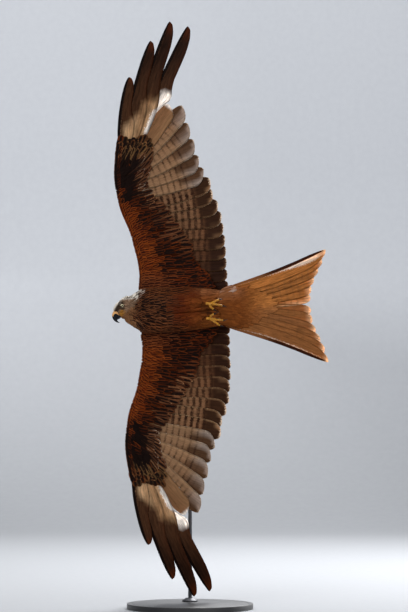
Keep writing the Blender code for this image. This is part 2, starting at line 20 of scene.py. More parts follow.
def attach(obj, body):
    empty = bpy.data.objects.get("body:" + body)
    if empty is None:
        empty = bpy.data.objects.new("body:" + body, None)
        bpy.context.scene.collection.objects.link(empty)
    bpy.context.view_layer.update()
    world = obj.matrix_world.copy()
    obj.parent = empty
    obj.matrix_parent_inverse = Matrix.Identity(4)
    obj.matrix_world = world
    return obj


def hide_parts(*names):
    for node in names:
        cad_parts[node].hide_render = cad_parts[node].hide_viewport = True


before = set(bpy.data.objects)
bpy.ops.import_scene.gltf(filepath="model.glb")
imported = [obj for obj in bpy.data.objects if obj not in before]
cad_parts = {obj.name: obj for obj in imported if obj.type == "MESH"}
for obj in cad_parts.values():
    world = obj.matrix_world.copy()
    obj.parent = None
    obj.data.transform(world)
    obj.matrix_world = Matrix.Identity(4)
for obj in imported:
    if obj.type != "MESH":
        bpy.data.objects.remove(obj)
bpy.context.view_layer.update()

bpy.ops.object.select_all(action="DESELECT")

# %% [markdown]
# ## The bird's own frame
#
# A bird is easiest to describe along its own body: how far aft, how far towards the back, and how far
# out along the span. Every size below is in those terms and in millimetres. One function then turns the
# whole bird into its place in the room, tail a little high, just as the solids were posed.

# %% From the bird's frame to the room
MM = 0.001
CLIMB = math.radians(2.35)
BIRD_PLACE = np.array((-45.0, -32.0, 900.0))


def to_room(points):
    """Points as aft, dorsal and span in mm, to metres in the room."""
    points = np.asarray(points, float)
    aft, dorsal, span = points[..., 0], points[..., 1], points[..., 2]
    across = aft * math.cos(CLIMB) - span * math.sin(CLIMB)
    up = aft * math.sin(CLIMB) + span * math.cos(CLIMB)
    return (np.stack((across, dorsal, up), -1) + BIRD_PLACE) * MM


def to_bird(points):
    """Points in metres in the room, back to aft, dorsal and span in mm."""
    moved = np.asarray(points, float) / MM - BIRD_PLACE
    aft = moved[..., 0] * math.cos(CLIMB) + moved[..., 2] * math.sin(CLIMB)
    span = moved[..., 2] * math.cos(CLIMB) - moved[..., 0] * math.sin(CLIMB)
    return np.stack((aft, moved[..., 1], span), -1)


def curve(table, x, column=1):
    """A smooth curve through a table's rows, whose first number is x, read at each x."""
    rows = np.asarray(table, float)
    keys, values = rows[:, 0], rows[:, column]
    slopes = np.empty(len(keys))
    slopes[1:-1] = (values[2:] - values[:-2]) / (keys[2:] - keys[:-2])
    slopes[0] = (values[1] - values[0]) / (keys[1] - keys[0])
    slopes[-1] = (values[-1] - values[-2]) / (keys[-1] - keys[-2])
    x = np.clip(x, keys[0], keys[-1])
    i = np.clip(np.searchsorted(keys, x, side="right") - 1, 0, len(keys) - 2)
    step = keys[i + 1] - keys[i]
    t = (x - keys[i]) / step
    near = (2 * t**3 - 3 * t**2 + 1) * values[i] + (t**3 - 2 * t**2 + t) * step * slopes[i]
    return near + (3 * t**2 - 2 * t**3) * values[i + 1] + (t**3 - t**2) * step * slopes[i + 1]


def curves(table, x):
    """The same for every column of a table after its first."""
    return [curve(table, x, column) for column in range(1, len(table[0]))]


def ramp(x, low, high):
    """0 up to low, 1 from high, and soft between them."""
    t = np.clip((np.asarray(x, float) - low) / (high - low), 0, 1)
    return t * t * (3 - 2 * t)


def blend(a, b, t):
    """Numbers a and b mixed by t."""
    return a + (b - a) * t


def mix(a, b, t):
    """Colours mixed by t, each given by its name in the palette or as numbers."""
    a, b = (TONE[colour] if isinstance(colour, str) else np.asarray(colour) for colour in (a, b))
    t = np.asarray(t, float)[..., None]
    return a * (1 - t) + b * t


print("the bird's zero is at", to_room((0, 0, 0)))

# %% [markdown]
# ## The measured shapes
#
# These tables repeat the sizes that the solids were built from, so that skin and feathers follow the
# same bird: the torso, the head round the eye, the bony part of the wing, and the wing's gentle arch.

# %% Torso, head and wing
TORSO = (  # aft, half width, height above and depth below the axis
    (-163, 12, 8, 5), (-156, 28, 17, 9), (-146, 37, 25, 14), (-134, 44.5, 33, 21), (-120, 54, 41, 32),
    (-104, 64, 46, 45), (-80, 69, 49, 57), (-40, 70, 51, 62), (10, 69, 49, 60), (60, 66, 43, 53),
    (105, 61, 35, 43), (145, 53, 27, 33), (178, 40, 18, 22), (196, 22, 10, 12),
)
NECK_LEAN = ((-146, 3), (-104, 1.8), (-40, 0))
HEAD_TURN = math.radians(40)
EYE_LEVEL = np.array((-157.5, 4, 18))
HEAD = (  # forward of the eye, top, bottom, half width
    (-41, 6, -20, 9), (-35, 10, -25, 15), (-24, 14.5, -33, 20.5), (-9, 17, -38, 22.5),
    (6, 16, -39, 21.5), (17, 13, -36.5, 17.5), (25, 9.5, -31, 13), (31, 5, -22, 9),
)
SIDES = {1: "left", -1: "right"}
CORE = (  # span, leading edge, rear edge, half thickness of the wing's flesh
    (40, -106, 78, 15), (70, -104, 70, 15), (110, -100, 60, 14), (145, -103, 44, 13), (180, -110, 28, 12.5),
    (240, -124, 4, 11.5), (300, -147, -42, 10.5), (345, -157, -74, 9.5), (400, -164, -98, 8.5),
    (450, -161, -110, 7.5), (485, -156, -122, 6.5), (508, -152, -136, 5),
)
TAIL_ROOT = (  # aft, half width, height above and depth below the tail's middle surface
    (118, 50, 18, 44), (150, 57, 15, 34), (180, 57, 11, 25), (210, 50, 7.5, 16), (240, 36, 4.5, 8),
    (268, 16, 2.5, 3),
)
AEROFOIL = ((0, 0), (0.03, 0.36), (0.10, 0.62), (0.36, 1.0), (0.72, 0.84), (1.0, 0.52))
RISE = ((40, 24), (200, 33), (400, 45), (550, 50), (700, 58), (870, 86))
ARCH = ((40, 20), (300, 16), (500, 9), (700, 5), (870, 4))
MIDDLE = ((40, 30), (300, 0), (450, -33), (600, -45), (870, -20))
HALF_CHORD = ((40, 130), (300, 150), (450, 125), (600, 95), (870, 80))
COAT_BEHIND, COAT_OUTBOARD = 4.6, 1.2  # half thickness behind the flesh and beyond its end


def wing_level(aft, span):
    """Height of the wing's middle surface."""
    u = (aft - curve(MIDDLE, span)) / curve(HALF_CHORD, span)
    return curve(RISE, span) + curve(ARCH, span) * (1 - np.minimum(u * u, 1.6))


def wing_depth(aft, span):
    """Half thickness of the wing with its flesh, and of the flight feathers behind it."""
    lead, rear, thick = curves(CORE, span)
    share = (aft - lead) / (rear - lead)
    flesh = thick * np.interp(share, *np.array(AEROFOIL).T)
    fade = 1 - ramp(share, 1.0, 1.35)
    inboard = 1 - ramp(span, 505, 540)
    behind = np.maximum(flesh * fade, COAT_BEHIND)
    return np.where(share < 0.5, flesh, behind) * inboard + COAT_OUTBOARD * (1 - inboard)


def armpit(aft, span):
    """How far feathers fill the corner under the wing where it leaves the body."""
    share = (aft - curve(CORE, span, 1)) / 90
    return 17 * (1 - ramp(span, 62, 125)) * ramp(share, -0.05, 0.9)


def tail_level(aft, span):
    """Height of the tail's middle surface."""
    return 6 - 0.045 * np.abs(span) - 0.012 * (aft - 150)


def head_place(forward, up, out):
    """A place on the head, from the point between the eyes: forward, up, and out to the bird's left."""
    c, s = math.cos(HEAD_TURN), math.sin(HEAD_TURN)
    forward, up, out = np.broadcast_arrays(forward, up, out)
    return EYE_LEVEL + np.stack((-c * forward - s * up, -1.0 * out, -s * forward + c * up), -1)


print("wing level at the wrist:", round(float(wing_level(-120, 400)), 1), "mm")

# %% [markdown]
# ## The skin
#
# Under the feathers a real bird is one body, with no line where the neck, wings or thighs begin. The
# solids of the flesh are copied and joined with a finer wing arm and tail root, and a voxel remesh melts
# them into one closed skin, as wrapping them in wet clay would. It is then drawn in by the depth of the
# coat, so that the feathers that lie on it end where the measured solids end.

# %% Helpers for lofts and objects
def deselect():
    """Selects nothing."""
    bpy.ops.object.select_all(action="DESELECT")


def only(obj):
    """Makes obj the one selected and active object."""
    deselect()
    obj.select_set(True)
    bpy.context.view_layer.objects.active = obj
    return obj


@contextmanager
def editing(obj):
    """Edit mode on one object, with everything selected."""
    only(obj)
    bpy.ops.object.mode_set(mode="EDIT")
    bpy.ops.mesh.select_all(action="SELECT")
    yield
    bpy.ops.object.mode_set(mode="OBJECT")


def choose(obj, kind, rule):
    """In edit mode, selects the edges or faces that a rule fits."""
    bpy.ops.mesh.select_mode(type=kind)
    bpy.ops.mesh.select_all(action="DESELECT")
    bm = bmesh.from_edit_mesh(obj.data)
    for item in bm.edges if kind == "EDGE" else bm.faces:
        item.select = rule(item)
    bmesh.update_edit_mesh(obj.data)


def face_outwards(obj):
    """Turns every face to the outside."""
    with editing(obj):
        bpy.ops.mesh.normals_make_consistent(inside=False)


def join(parts, name):
    """Joins objects into the first of them."""
    deselect()
    for part in parts:
        part.select_set(True)
    bpy.context.view_layer.objects.active = parts[0]
    bpy.ops.object.join()
    bpy.context.object.name = name
    return bpy.context.object


def read(items, field, width=1, kind=float):
    """One property of all items, with a row for each when it is wider than one number."""
    values = np.empty(len(items) * width, kind)
    items.foreach_get(field, values)
    return values.reshape(-1, width) if width > 1 else values


def apply_modifier(obj, kind, **settings):
    """Adds a modifier with its settings and applies it."""
    only(obj)
    modifier = obj.modifiers.new(kind.lower(), kind)
    for key, value in settings.items():
        setattr(modifier, key, value)
    bpy.ops.object.modifier_apply(modifier=modifier.name)


def loft(name, rings):
    """A closed body through rings of points in the bird's frame."""
    bm = bmesh.new()
    rows = [[bm.verts.new(point) for point in to_room(ring)] for ring in rings]
    for near, far in zip(rows, rows[1:]):
        for i in range(len(near)):
            j = (i + 1) % len(near)
            bm.faces.new((near[i], near[j], far[j], far[i]))
    bm.faces.new(rows[0][::-1])
    bm.faces.new(rows[-1])
    bmesh.ops.recalc_face_normals(bm, faces=bm.faces)
    mesh = bpy.data.meshes.new(name)
    bm.to_mesh(mesh)
    bm.free()
    obj = bpy.data.objects.new(name, mesh)
    bpy.context.collection.objects.link(obj)
    return obj


def arm(side):
    """The fleshy part of one wing, without feathers."""
    rings = []
    shares = (1 - np.cos(np.linspace(0, math.pi, 15))) / 2
    for span in np.linspace(CORE[0][0], CORE[-1][0], 48):
        lead, rear, thick = curves(CORE, span)
        aft = lead + (rear - lead) * shares
        depth = thick * np.interp(shares, *np.array(AEROFOIL).T)
        level = wing_level(aft, span)
        out = np.full(len(aft), side * span)
        over = np.stack((aft, level + depth, out), -1)
        under = np.stack((aft, level - depth - armpit(aft, span), out), -1)
        rings.append(np.concatenate((over, under[:0:-1])))
    return loft("arm", rings)


def tail_root():
    """The fleshy root of the tail, deep below so that the body runs smoothly into it."""
    turns = np.linspace(0, 2 * math.pi, 24, endpoint=False)
    rings = []
    for aft in np.linspace(TAIL_ROOT[0][0], TAIL_ROOT[-1][0], 15):
        wide, over, under = curves(TAIL_ROOT, aft)
        tall = np.where(np.sin(turns) > 0, over, under) * np.sin(turns)
        rings.append(np.stack((np.full(24, aft), tail_level(aft, 0) + tall, wide * np.cos(turns)), -1))
    return loft("tail_root", rings)


# %% One skin
FLESH = ("torso", "neck", "head", "eye_left", "eye_right", "leg_left", "leg_right")
SKIN_VOXEL = 2.6 * MM
BODY_COAT, WING_COAT, TAIL_COAT, HEAD_COAT = 4.6, 2.4, 1.6, 2.2  # how deep the feathers lie, in mm
parts = [arm(1), arm(-1), tail_root()]
for label in FLESH:
    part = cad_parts[label].copy()
    part.data = part.data.copy()
    part.parent = None
    part.name = "flesh"
    bpy.context.collection.objects.link(part)
    parts.append(part)
skin = join(parts, "skin")
skin.data.name = "skin"
with editing(skin):
    bpy.ops.mesh.remove_doubles(threshold=1e-5)
apply_modifier(skin, "REMESH", mode="VOXEL", voxel_size=SKIN_VOXEL)
apply_modifier(skin, "SMOOTH", factor=0.5, iterations=8)


def head_sizes(points):
    """Forward, up and out of points in the bird's frame, measured from between the eyes."""
    c, s = math.cos(HEAD_TURN), math.sin(HEAD_TURN)
    d = points - EYE_LEVEL
    return -c * d[..., 0] - s * d[..., 2], -s * d[..., 0] + c * d[..., 2], -d[..., 1]


def coat_depth(points):
    """How deep the feathers lie on the skin, in mm."""
    aft, span = points[..., 0], points[..., 2]
    forward, up, _ = head_sizes(points)
    depth = blend(np.full(len(points), BODY_COAT), WING_COAT, ramp(np.abs(span), 66, 84))
    depth = blend(depth, TAIL_COAT, ramp(aft, 150, 200))
    depth = blend(depth, HEAD_COAT, ramp(forward, -38, -26))
    # the raised feathers of the brow and forehead
    brow = 3.8 * ramp(forward, -4, 12) * ramp(up, -2, 8)
    return depth - brow - 2.6 * ramp(forward, 22, 30) * ramp(up, -6, 2)


place = read(skin.data.vertices, "co", 3)
outwards = read(skin.data.vertex_normals, "vector", 3, np.float32).astype(float)
place -= outwards * coat_depth(to_bird(place))[:, None] * MM
skin.data.vertices.foreach_set("co", place.ravel())
skin.data.update()
apply_modifier(skin, "SMOOTH", factor=0.5, iterations=2)
skin.data.shade_smooth()
print("skin:", len(skin.data.polygons), "faces")

# %% [markdown]
# ### A map of the skin
#
# The skin is unwrapped once onto a flat map, and every small feather later gets its own little patch of
# that map, at the place of its root.

# %% Unwrap the skin and find places on it
while skin.data.uv_layers:
    skin.data.uv_layers.remove(skin.data.uv_layers[0])
skin.data.uv_layers.new(name="OFBake")
with editing(skin):
    bpy.ops.uv.smart_project(angle_limit=math.radians(72), island_margin=0.002)
skin_points = read(skin.data.vertices, "co", 3)
skin_faces = [tuple(face.vertices) for face in skin.data.polygons]
skin_tree = BVHTree.FromPolygons([Vector(p) for p in skin_points], skin_faces)
skin_uv = read(skin.data.uv_layers["OFBake"].data, "uv", 2)
first_loop = read(skin.data.polygons, "loop_start", kind=int)
face_uv = (skin_uv[first_loop] + skin_uv[first_loop + 2]) / 2  # the middle of each four-sided face


def on_skin(points):
    """Nearest places on the skin, their normals and face numbers, for points in the room."""
    found = [skin_tree.find_nearest(point) for point in np.asarray(points).reshape(-1, 3).tolist()]
    spots, normals = (np.array([hit[i] for hit in found]).reshape(np.shape(points)) for i in (0, 1))
    return spots, normals, np.array([hit[2] for hit in found])


print("skin map made,", len(face_uv), "faces")

# %% [markdown]
# ## Colours
#
# A kite's plumage is pigment in horn: rufous, buff, dark brown and greyish white. The tones below are
# what the eye sees on each part of the bird, as sRGB hex values, which one function turns linear.

# %% The palette
def linear(code, brighter=1.0):
    """An sRGB hex value as linear red, green, blue and an alpha of 1."""
    channels = [int(code[i : i + 2], 16) / 255 for i in (1, 3, 5)]
    return (*(brighter * (c / 12.92 if c <= 0.04045 else ((c + 0.055) / 1.055) ** 2.4) for c in channels), 1)


TINTS = {
    "rufous": "#6E2D0B",
    "rufous bright": "#8E4618",
    "rufous dark": "#3A1506",
    "streak": "#301006",
    "brown": "#3A1B0E",
    "dark brown": "#241009",
    "black brown": "#150A07",
    "buff": "#A47A55",
    "pale buff": "#D3AC82",
    "cream": "#E9D4BB",
    "white": "#F4ECE4",
    "grey white": "#E4DCCF",
    "grey face": "#866A54",
    "face dark": "#3C2F25",
    "tan": "#7D5B38",
    "gape gold": "#A87020",
    "throat brown": "#80583A",
    "finger inner": "#4C301E",
    "vane mid": "#784E33",
    "vane pale": "#9A7455",
    "lilac grey": "#A08E82",
    "wedge brown": "#5A3E2A",
    "patch brown": "#382214",
    "bar brown": "#2C170D",
    "vane dark": "#2C180E",
    "inner dark": "#301A11",
    "breast": "#6E4026",
    "breast edge": "#A27454",
    "belly": "#58210A",
    "vent": "#7E441B",
    "tail orange": "#C27A3C",
    "tail brown": "#8A5834",
    "tail pale": "#EBC49A",
    "mantle": "#5A3620",
    "mantle edge": "#8A5A34",
    "back band": "#A38260",
}
TONE = {name: np.array(linear(code)[:3]) for name, code in TINTS.items()}
print(len(TONE), "tones")

# %% [markdown]
# ## The plumage material
#
# A feather vane is keratin: barbs set side by side like the fibres of a ribbon, dull, slightly silky,
# and thin enough for light to shine through. Each feather carries its own colours as attributes: the
# ground, the darker mark along the shaft or in bars, and the rim at the edge. One material reads them, so
# a thousand feathers can each differ a little.

# %% One function for nodes
def node(material, kind, inputs=None, **settings):
    """Adds a node, sets its properties, and fills its inputs. A node given as an input is linked by its
    first live output, and a socket is linked as it is."""
    made = material.node_tree.nodes.new("ShaderNode" + kind)
    for key, value in settings.items():
        setattr(made, key, value)
    for key, value in (inputs or {}).items():
        if isinstance(value, bpy.types.Node):
            value = next(socket for socket in value.outputs if socket.enabled)
        if isinstance(value, bpy.types.NodeSocket):
            material.node_tree.links.new(value, made.inputs[key])
        else:
            made.inputs[key].default_value = value
    return made


def new_material(name):
    """An empty material, and the function that adds nodes to it."""
    material = bpy.data.materials.new(name)
    material.use_nodes = True
    material.node_tree.nodes.clear()
    return material, partial(node, material)

# %% Feather vane
def feather_material(name, through, roughness):
    """Feather keratin. through is the share of light that shines through the vane."""
    material, add = new_material(name)
    given = {key: add("Attribute", attribute_name=key) for key in ("ground", "mark", "rim", "lie", "habit")}
    # from the tip and off the shaft, both in 100 mm, and a number of its own
    lie = given["lie"].outputs["Vector"]
    bars, streaks, broad = add("SeparateXYZ", {0: given["habit"].outputs["Vector"]}).outputs
    along, side, _ = add("SeparateXYZ", {0: add("UVMap", uv_map="Vane")}).outputs
    signed = add("Math", {0: side, 1: 2.0, 2: -1.0}, operation="MULTIPLY_ADD")
    across = add("Math", {0: signed}, operation="ABSOLUTE")

    # Barbs leave the shaft every 0.4 mm. They are drawn 1.6 mm apart, or they wouldn't show.
    level = add("VectorMath", {0: lie, 1: (62.0, 0.0, 50.0)}, operation="DOT_PRODUCT").outputs["Value"]
    barb_place = add("Math", {0: across, 1: -7.4, 2: level}, operation="MULTIPLY_ADD")
    barbs = add("TexNoise", {"W": barb_place, "Scale": 1.0, "Detail": 2.0, "Roughness": 0.6},
                noise_dimensions="1D")

    # Uneven edges, in patches of about 4 by 2.5 mm, and soft streaks 3 mm wide that run along the feather
    patches = add("VectorMath", {0: lie, 1: (25.0, 40.0, 37.0)}, operation="MULTIPLY")
    uneven = add("TexNoise", {"Vector": patches, "Scale": 1.0, "Detail": 3.0})
    wobble = add("MapRange", {"Value": uneven, "From Min": 0.25, "From Max": 0.75, "To Min": -0.13,
                              "To Max": 0.13})
    lengthwise = add("VectorMath", {0: lie, 1: (3.2, 34.0, 61.0)}, operation="MULTIPLY")
    streak = add("TexNoise", {"Vector": lengthwise, "Scale": 1.0, "Detail": 3.0, "Roughness": 0.6})

    # The dark centre along the shaft, as wide as the mark's alpha says
    loose = add("Math", {0: across, 1: wobble}, operation="ADD")
    reach = add("Math", {0: given["mark"].outputs["Alpha"], 1: loose}, operation="SUBTRACT")
    centre = add("MapRange", {"Value": reach, "From Min": 0.0, "From Max": 0.14})
    short = add("MapRange", {"Value": along, "From Min": 0.99, "From Max": 0.9})
    centre = add("Math", {0: centre, 1: short}, operation="MULTIPLY")

    # Bars 19 mm apart, stronger and weaker from one to the next
    phase = add("VectorMath", {0: lie, 1: (33.07, 0.0, 0.35)}, operation="DOT_PRODUCT").outputs["Value"]
    shaken = add("Math", {0: wobble, 1: 9.0, 2: phase}, operation="MULTIPLY_ADD")
    wave = add("Math", {0: shaken}, operation="SINE")
    wave = add("Math", {0: wave, 1: broad}, operation="ADD")
    bar = add("MapRange", {"Value": wave, "From Min": 0.1, "From Max": 0.7})
    chance = add("VectorMath", {0: lie, 1: (7.0, 9.0, 91.0)}, operation="MULTIPLY")
    some = add("TexNoise", {"Vector": chance, "Scale": 1.0, "Detail": 1.0})
    strength = add("MapRange", {"Value": some, "From Min": 0.32, "From Max": 0.58, "To Min": 0.5})
    bar = add("Math", {0: bar, 1: strength}, operation="MULTIPLY")
    bar = add("Math", {0: bar, 1: bars}, operation="MULTIPLY")
    dark = add("Math", {0: centre, 1: bar}, operation="MAXIMUM")

    # The rim, as wide as its alpha says
    tip_edge = add("MapRange", {"Value": along, "From Min": 0.8, "From Max": 1.0})
    edge = add("Math", {0: across, 1: tip_edge}, operation="MAXIMUM")
    edge = add("Math", {0: edge, 1: wobble}, operation="ADD")
    edge = add("Math", {0: edge, 1: given["rim"].outputs["Alpha"]}, operation="ADD")
    fringe = add("MapRange", {"Value": edge, "From Min": 1.0, "From Max": 1.1})

    marked = add("Mix", {0: dark, 6: given["ground"].outputs["Color"], 7: given["mark"].outputs["Color"]},
                 data_type="RGBA")
    rimmed = add("Mix", {0: fringe, 6: marked, 7: given["rim"].outputs["Color"]}, data_type="RGBA")
    fine = add("MapRange", {"Value": barbs, "From Min": 0.25, "From Max": 0.75, "To Min": 0.91,
                            "To Max": 1.09})
    swing = add("MapRange", {"Value": streak, "From Min": 0.3, "From Max": 0.7, "To Min": -1.0})
    silky = add("Math", {0: swing, 1: streaks, 2: 1.0}, operation="MULTIPLY_ADD")
    light = add("Math", {0: fine, 1: silky}, operation="MULTIPLY")
    colour = add("VectorMath", {0: rimmed, "Scale": light}, operation="SCALE")
    bump = add("Bump", {"Strength": 0.3, "Distance": 0.0005, "Height": barbs})
    vane_shader = add("BsdfPrincipled", {"Base Color": colour, "Roughness": roughness, "IOR": 1.5,
                                         "Specular IOR Level": 0.05, "Normal": bump})
    glow = add("BsdfTranslucent", {"Color": colour, "Normal": bump})
    both = add("MixShader", {0: through, 1: vane_shader, 2: glow})
    add("OutputMaterial", {0: both})
    return material


quill = feather_material("flight feather keratin", 0.32, 0.55)
down = feather_material("small feather keratin", 0.1, 0.7)
print("materials:", quill.name, "and", down.name)

# %% [markdown]
# ## Blades
#
# Every feather starts as one blade, modelled flat and straight: a ball pressed thin, its root at 0, its
# tip at 1, and its edges at -1 and 1. Arrays then lay a copy of it in each feather's place. A flight
# feather gets many faces, and a body feather, which comes by the thousand, a few dozen.

# %% Model the blades
def blade(name, around, along):
    """A flat closed blade and its corners: u along it, v across it and w through it, and its faces."""
    deselect()
    bpy.ops.mesh.primitive_uv_sphere_add(segments=around, ring_count=along, radius=1)
    shaped = bpy.context.object
    mesh = shaped.data
    with editing(shaped):
        bpy.ops.transform.rotate(value=math.pi / 2, orient_axis="Y", center_override=(0, 0, 0))
        bpy.ops.transform.resize(value=(0.5, 1, 1), center_override=(0, 0, 0))
        bpy.ops.transform.translate(value=(0.5, 0, 0))
    points = read(mesh.vertices, "co", 3)
    ring = np.maximum(np.hypot(points[:, 1], points[:, 2]), 1e-4)
    points[:, 1:] = np.where((ring > 1e-4)[:, None], points[:, 1:] / ring[:, None], 0)
    made = {"u": points[:, 0], "v": points[:, 1], "w": points[:, 2],
            "corners": read(mesh.loops, "vertex_index", kind=int),
            "totals": read(mesh.polygons, "loop_total", kind=int)}
    bpy.data.objects.remove(shaped)
    bpy.data.meshes.remove(mesh)
    print(name, "blade:", int((made["totals"] - 2).sum()), "triangles")
    return made


long_blade = blade("flight", 16, 44)
covert_blade = blade("covert", 8, 8)
body_blade = blade("body", 6, 6)


# %% Join blades into one mesh
PATCH = 0.003  # side of a small feather's patch on the bake map
COVERT_THICK, BODY_THICK = 0.35, 0.28  # half thickness of the small feathers


def join_blades(name, shape, points, looks, home, material):
    """One mesh of many blades. points is (feathers, corners, 3) in metres in the room, looks is made by
    look_layers, and home is each loop's or feather's place on the bake map."""
    count, each = points.shape[:2]
    corners = (shape["corners"][None, :] + np.arange(count)[:, None] * each).ravel()
    totals = np.tile(shape["totals"], count)
    mesh = bpy.data.meshes.new(name)
    mesh.vertices.add(count * each)
    mesh.vertices.foreach_set("co", points.ravel())
    mesh.loops.add(len(corners))
    mesh.loops.foreach_set("vertex_index", corners)
    mesh.polygons.add(len(totals))
    mesh.polygons.foreach_set("loop_start", np.concatenate(([0], np.cumsum(totals)[:-1])))
    mesh.polygons.foreach_set("loop_total", totals)
    mesh.update(calc_edges=True)
    across = (shape["v"] + 1) / 2
    vane = np.tile(np.stack((shape["u"], across), -1)[shape["corners"]], (count, 1))
    if home.ndim == 2:
        patch = np.stack((across - 0.5, shape["u"] - 0.5), -1) * PATCH
        home = (home[:, None, :] + patch[None])[:, shape["corners"]]
    for label, place in (("Vane", vane), ("OFBake", home)):
        mesh.uv_layers.new(name=label).data.foreach_set("uv", place.ravel())
    for key, value in looks.items():
        if value.ndim == 2:
            value = np.repeat(value[:, None, :], each, axis=1)
        kind, holds = ("FLOAT_COLOR", "color") if value.shape[-1] == 4 else ("FLOAT_VECTOR", "vector")
        layer = mesh.attributes.new(key, kind, "POINT")
        layer.data.foreach_set(holds, value.astype(np.float32).ravel())
    mesh.shade_smooth()
    mesh.materials.append(material)
    obj = bpy.data.objects.new(name, mesh)
    bpy.context.collection.objects.link(obj)
    face_outwards(obj)
    print(f"{name}: {count} feathers, {int((totals - 2).sum())} triangles")
    return obj


def with_alpha(colour, alpha):
    """Colours with a fourth number, which the material reads as a width."""
    alpha = np.broadcast_to(np.asarray(alpha, float), colour.shape[:-1])
    return np.concatenate((colour, alpha[..., None]), -1)


def look_layers(ground, mark, centre, rim, fringe, lie, habit):
    """What the material reads, per feather or per corner: ground, mark and rim with the widths of the dark
    centre and the fringe, the place on the feather, and the strength of bars and streaks."""
    mark, rim, habit = (np.broadcast_to(value, ground.shape) for value in (mark, rim, habit))
    return {"ground": with_alpha(ground, 1), "mark": with_alpha(mark, centre),
            "rim": with_alpha(rim, fringe), "lie": lie, "habit": habit}


def lie_of(shape, length, half, outline):
    """How far each corner is from the tip and off the shaft, in 100 mm, and each feather's own number."""
    u, v = shape["u"], shape["v"]
    from_tip = length[:, None] * (1 - u) / 100
    off = half[:, None] * (curve(outline, u) * v) / 100
    own = np.broadcast_to(draw.uniform(0, 9, len(length))[:, None], off.shape)
    return np.stack((from_tip, off, own), -1)


def place_in_plan(shape, root, turn, length, lead, trail, outline, height, side, thick, bow=0.0):
    """Corners of feathers that lie in the plane of the wing or the tail. turn is each feather's angle from
    straight aft to outboard, and height(aft, span, u, v, w, off) its level."""
    u, v, w = shape["u"][None], shape["v"][None], shape["w"][None]
    along = np.stack((np.cos(turn), np.sin(turn)), -1)[:, None]
    ahead = np.stack((-np.sin(turn), np.cos(turn)), -1)[:, None]
    off = curve(outline, u) * np.where(v > 0, v * lead, v * trail)
    spot = root[:, None] + along * (u * length[:, None])[..., None]
    spot = spot + ahead * (off + np.asarray(bow) * 4 * u * (1 - u))[..., None]
    level = height(spot[..., 0], spot[..., 1], u, v, w, off) + w * thick
    return to_room(np.stack((spot[..., 0], level, side * spot[..., 1]), -1)), spot


print("blades can be joined")

# %% [markdown]
# ## Flight feathers
#
# Twenty long feathers carry each wing: ten primaries on the hand, of which four stand out as fingers,
# and ten secondaries on the arm. Seen from below, each one shows its broad inner vane and covers the
# narrow outer vane of the next. They are laid with the same roots, tips and widths as in the solids.

# %% Where the flight feathers stand
PRIMARIES = (  # root aft and span, tip aft and span, leading and trailing vane, bow
    ((-145, 468), (-110, 706), 9, 26, 10),
    ((-144, 461), (-42, 814), 9, 31, 8),
    ((-142, 453), (20, 870), 9, 33, 3),
    ((-140, 446), (70, 855), 9, 33, 0),
    ((-138, 439), (5, 620), 15, 41, 0),
    ((-136, 431), (46, 613), 16, 41, 0),
    ((-134, 422), (61, 559), 17, 43, 0),
    ((-132, 408), (76, 509), 18, 45, 0),
    ((-129, 391), (89, 459), 18, 46, 0),
    ((-124, 371), (103, 420), 18, 46, 0),
)
TRAILING_EDGE = ((60, 163), (130, 161), (200, 160), (250, 155), (300, 147), (345, 128), (386, 121))
BASE = ((0, 0.3), (0.12, 0.7), (0.35, 1))  # half width of every outline near the root
FLIGHT_OUTLINE = (*BASE, (0.8, 0.98), (0.92, 0.84), (0.97, 0.62), (0.99, 0.4), (1, 0))
POINTED_OUTLINE = (*BASE, (0.78, 1), (0.87, 0.86), (0.94, 0.6), (0.98, 0.34), (1, 0))
CUT_OUTLINE = (*BASE, (0.8, 1), (0.88, 0.95), (0.94, 0.72), (0.98, 0.36), (1, 0))
FINGER_OUTLINE = (
    (0, 0.3), (0.1, 0.66), (0.32, 1), (0.8, 0.94), (0.92, 0.72), (0.97, 0.46), (0.99, 0.28), (1, 0),
)
BULGE = ((0.28, 0.62), (0.4, 0.72), (0.46, 1.1), (0.5, 1.4), (0.53, 1.42), (0.57, 1.2), (0.63, 1))
FINGERS, HAND, ARM = 4, 10, 10  # how many feathers are fingers, and how many stand on hand and arm
# degrees outwards, from the hand in
SECONDARY_TURN = ((0, 12), (0.12, 7), (0.25, 2), (0.4, -1), (0.7, -2), (1, 0))
FINGER_LINE = (  # aft, span inside which the fingers are pale
    (-150, 515), (-136, 533), (-124, 561), (-110, 578), (-91, 602), (-66, 622), (-38, 637), (-17, 648),
)
draw = np.random.default_rng(11)


def flight_rows():
    """Every flight feather of a wing from the tip inwards, in the terms of the primaries."""
    rows = list(PRIMARIES)
    for t in np.arange(ARM) / (ARM - 1):
        tip_span = 384 - 318 * t
        tip = (float(curve(TRAILING_EDGE, tip_span)), tip_span)
        start = float(curve(CORE, 338 - 258 * t, 2)) - 32
        root = (start, tip_span - (tip[0] - start) * math.tan(math.radians(curve(SECONDARY_TURN, t))))
        rows.append((root, tip, 18, 42 - 20 * t * t, 0))
    return rows

# %% Colours of the flight feathers
def faces_below(w):
    """Which corners show on the underside, edges included."""
    return (w < 0.25)[:, None]


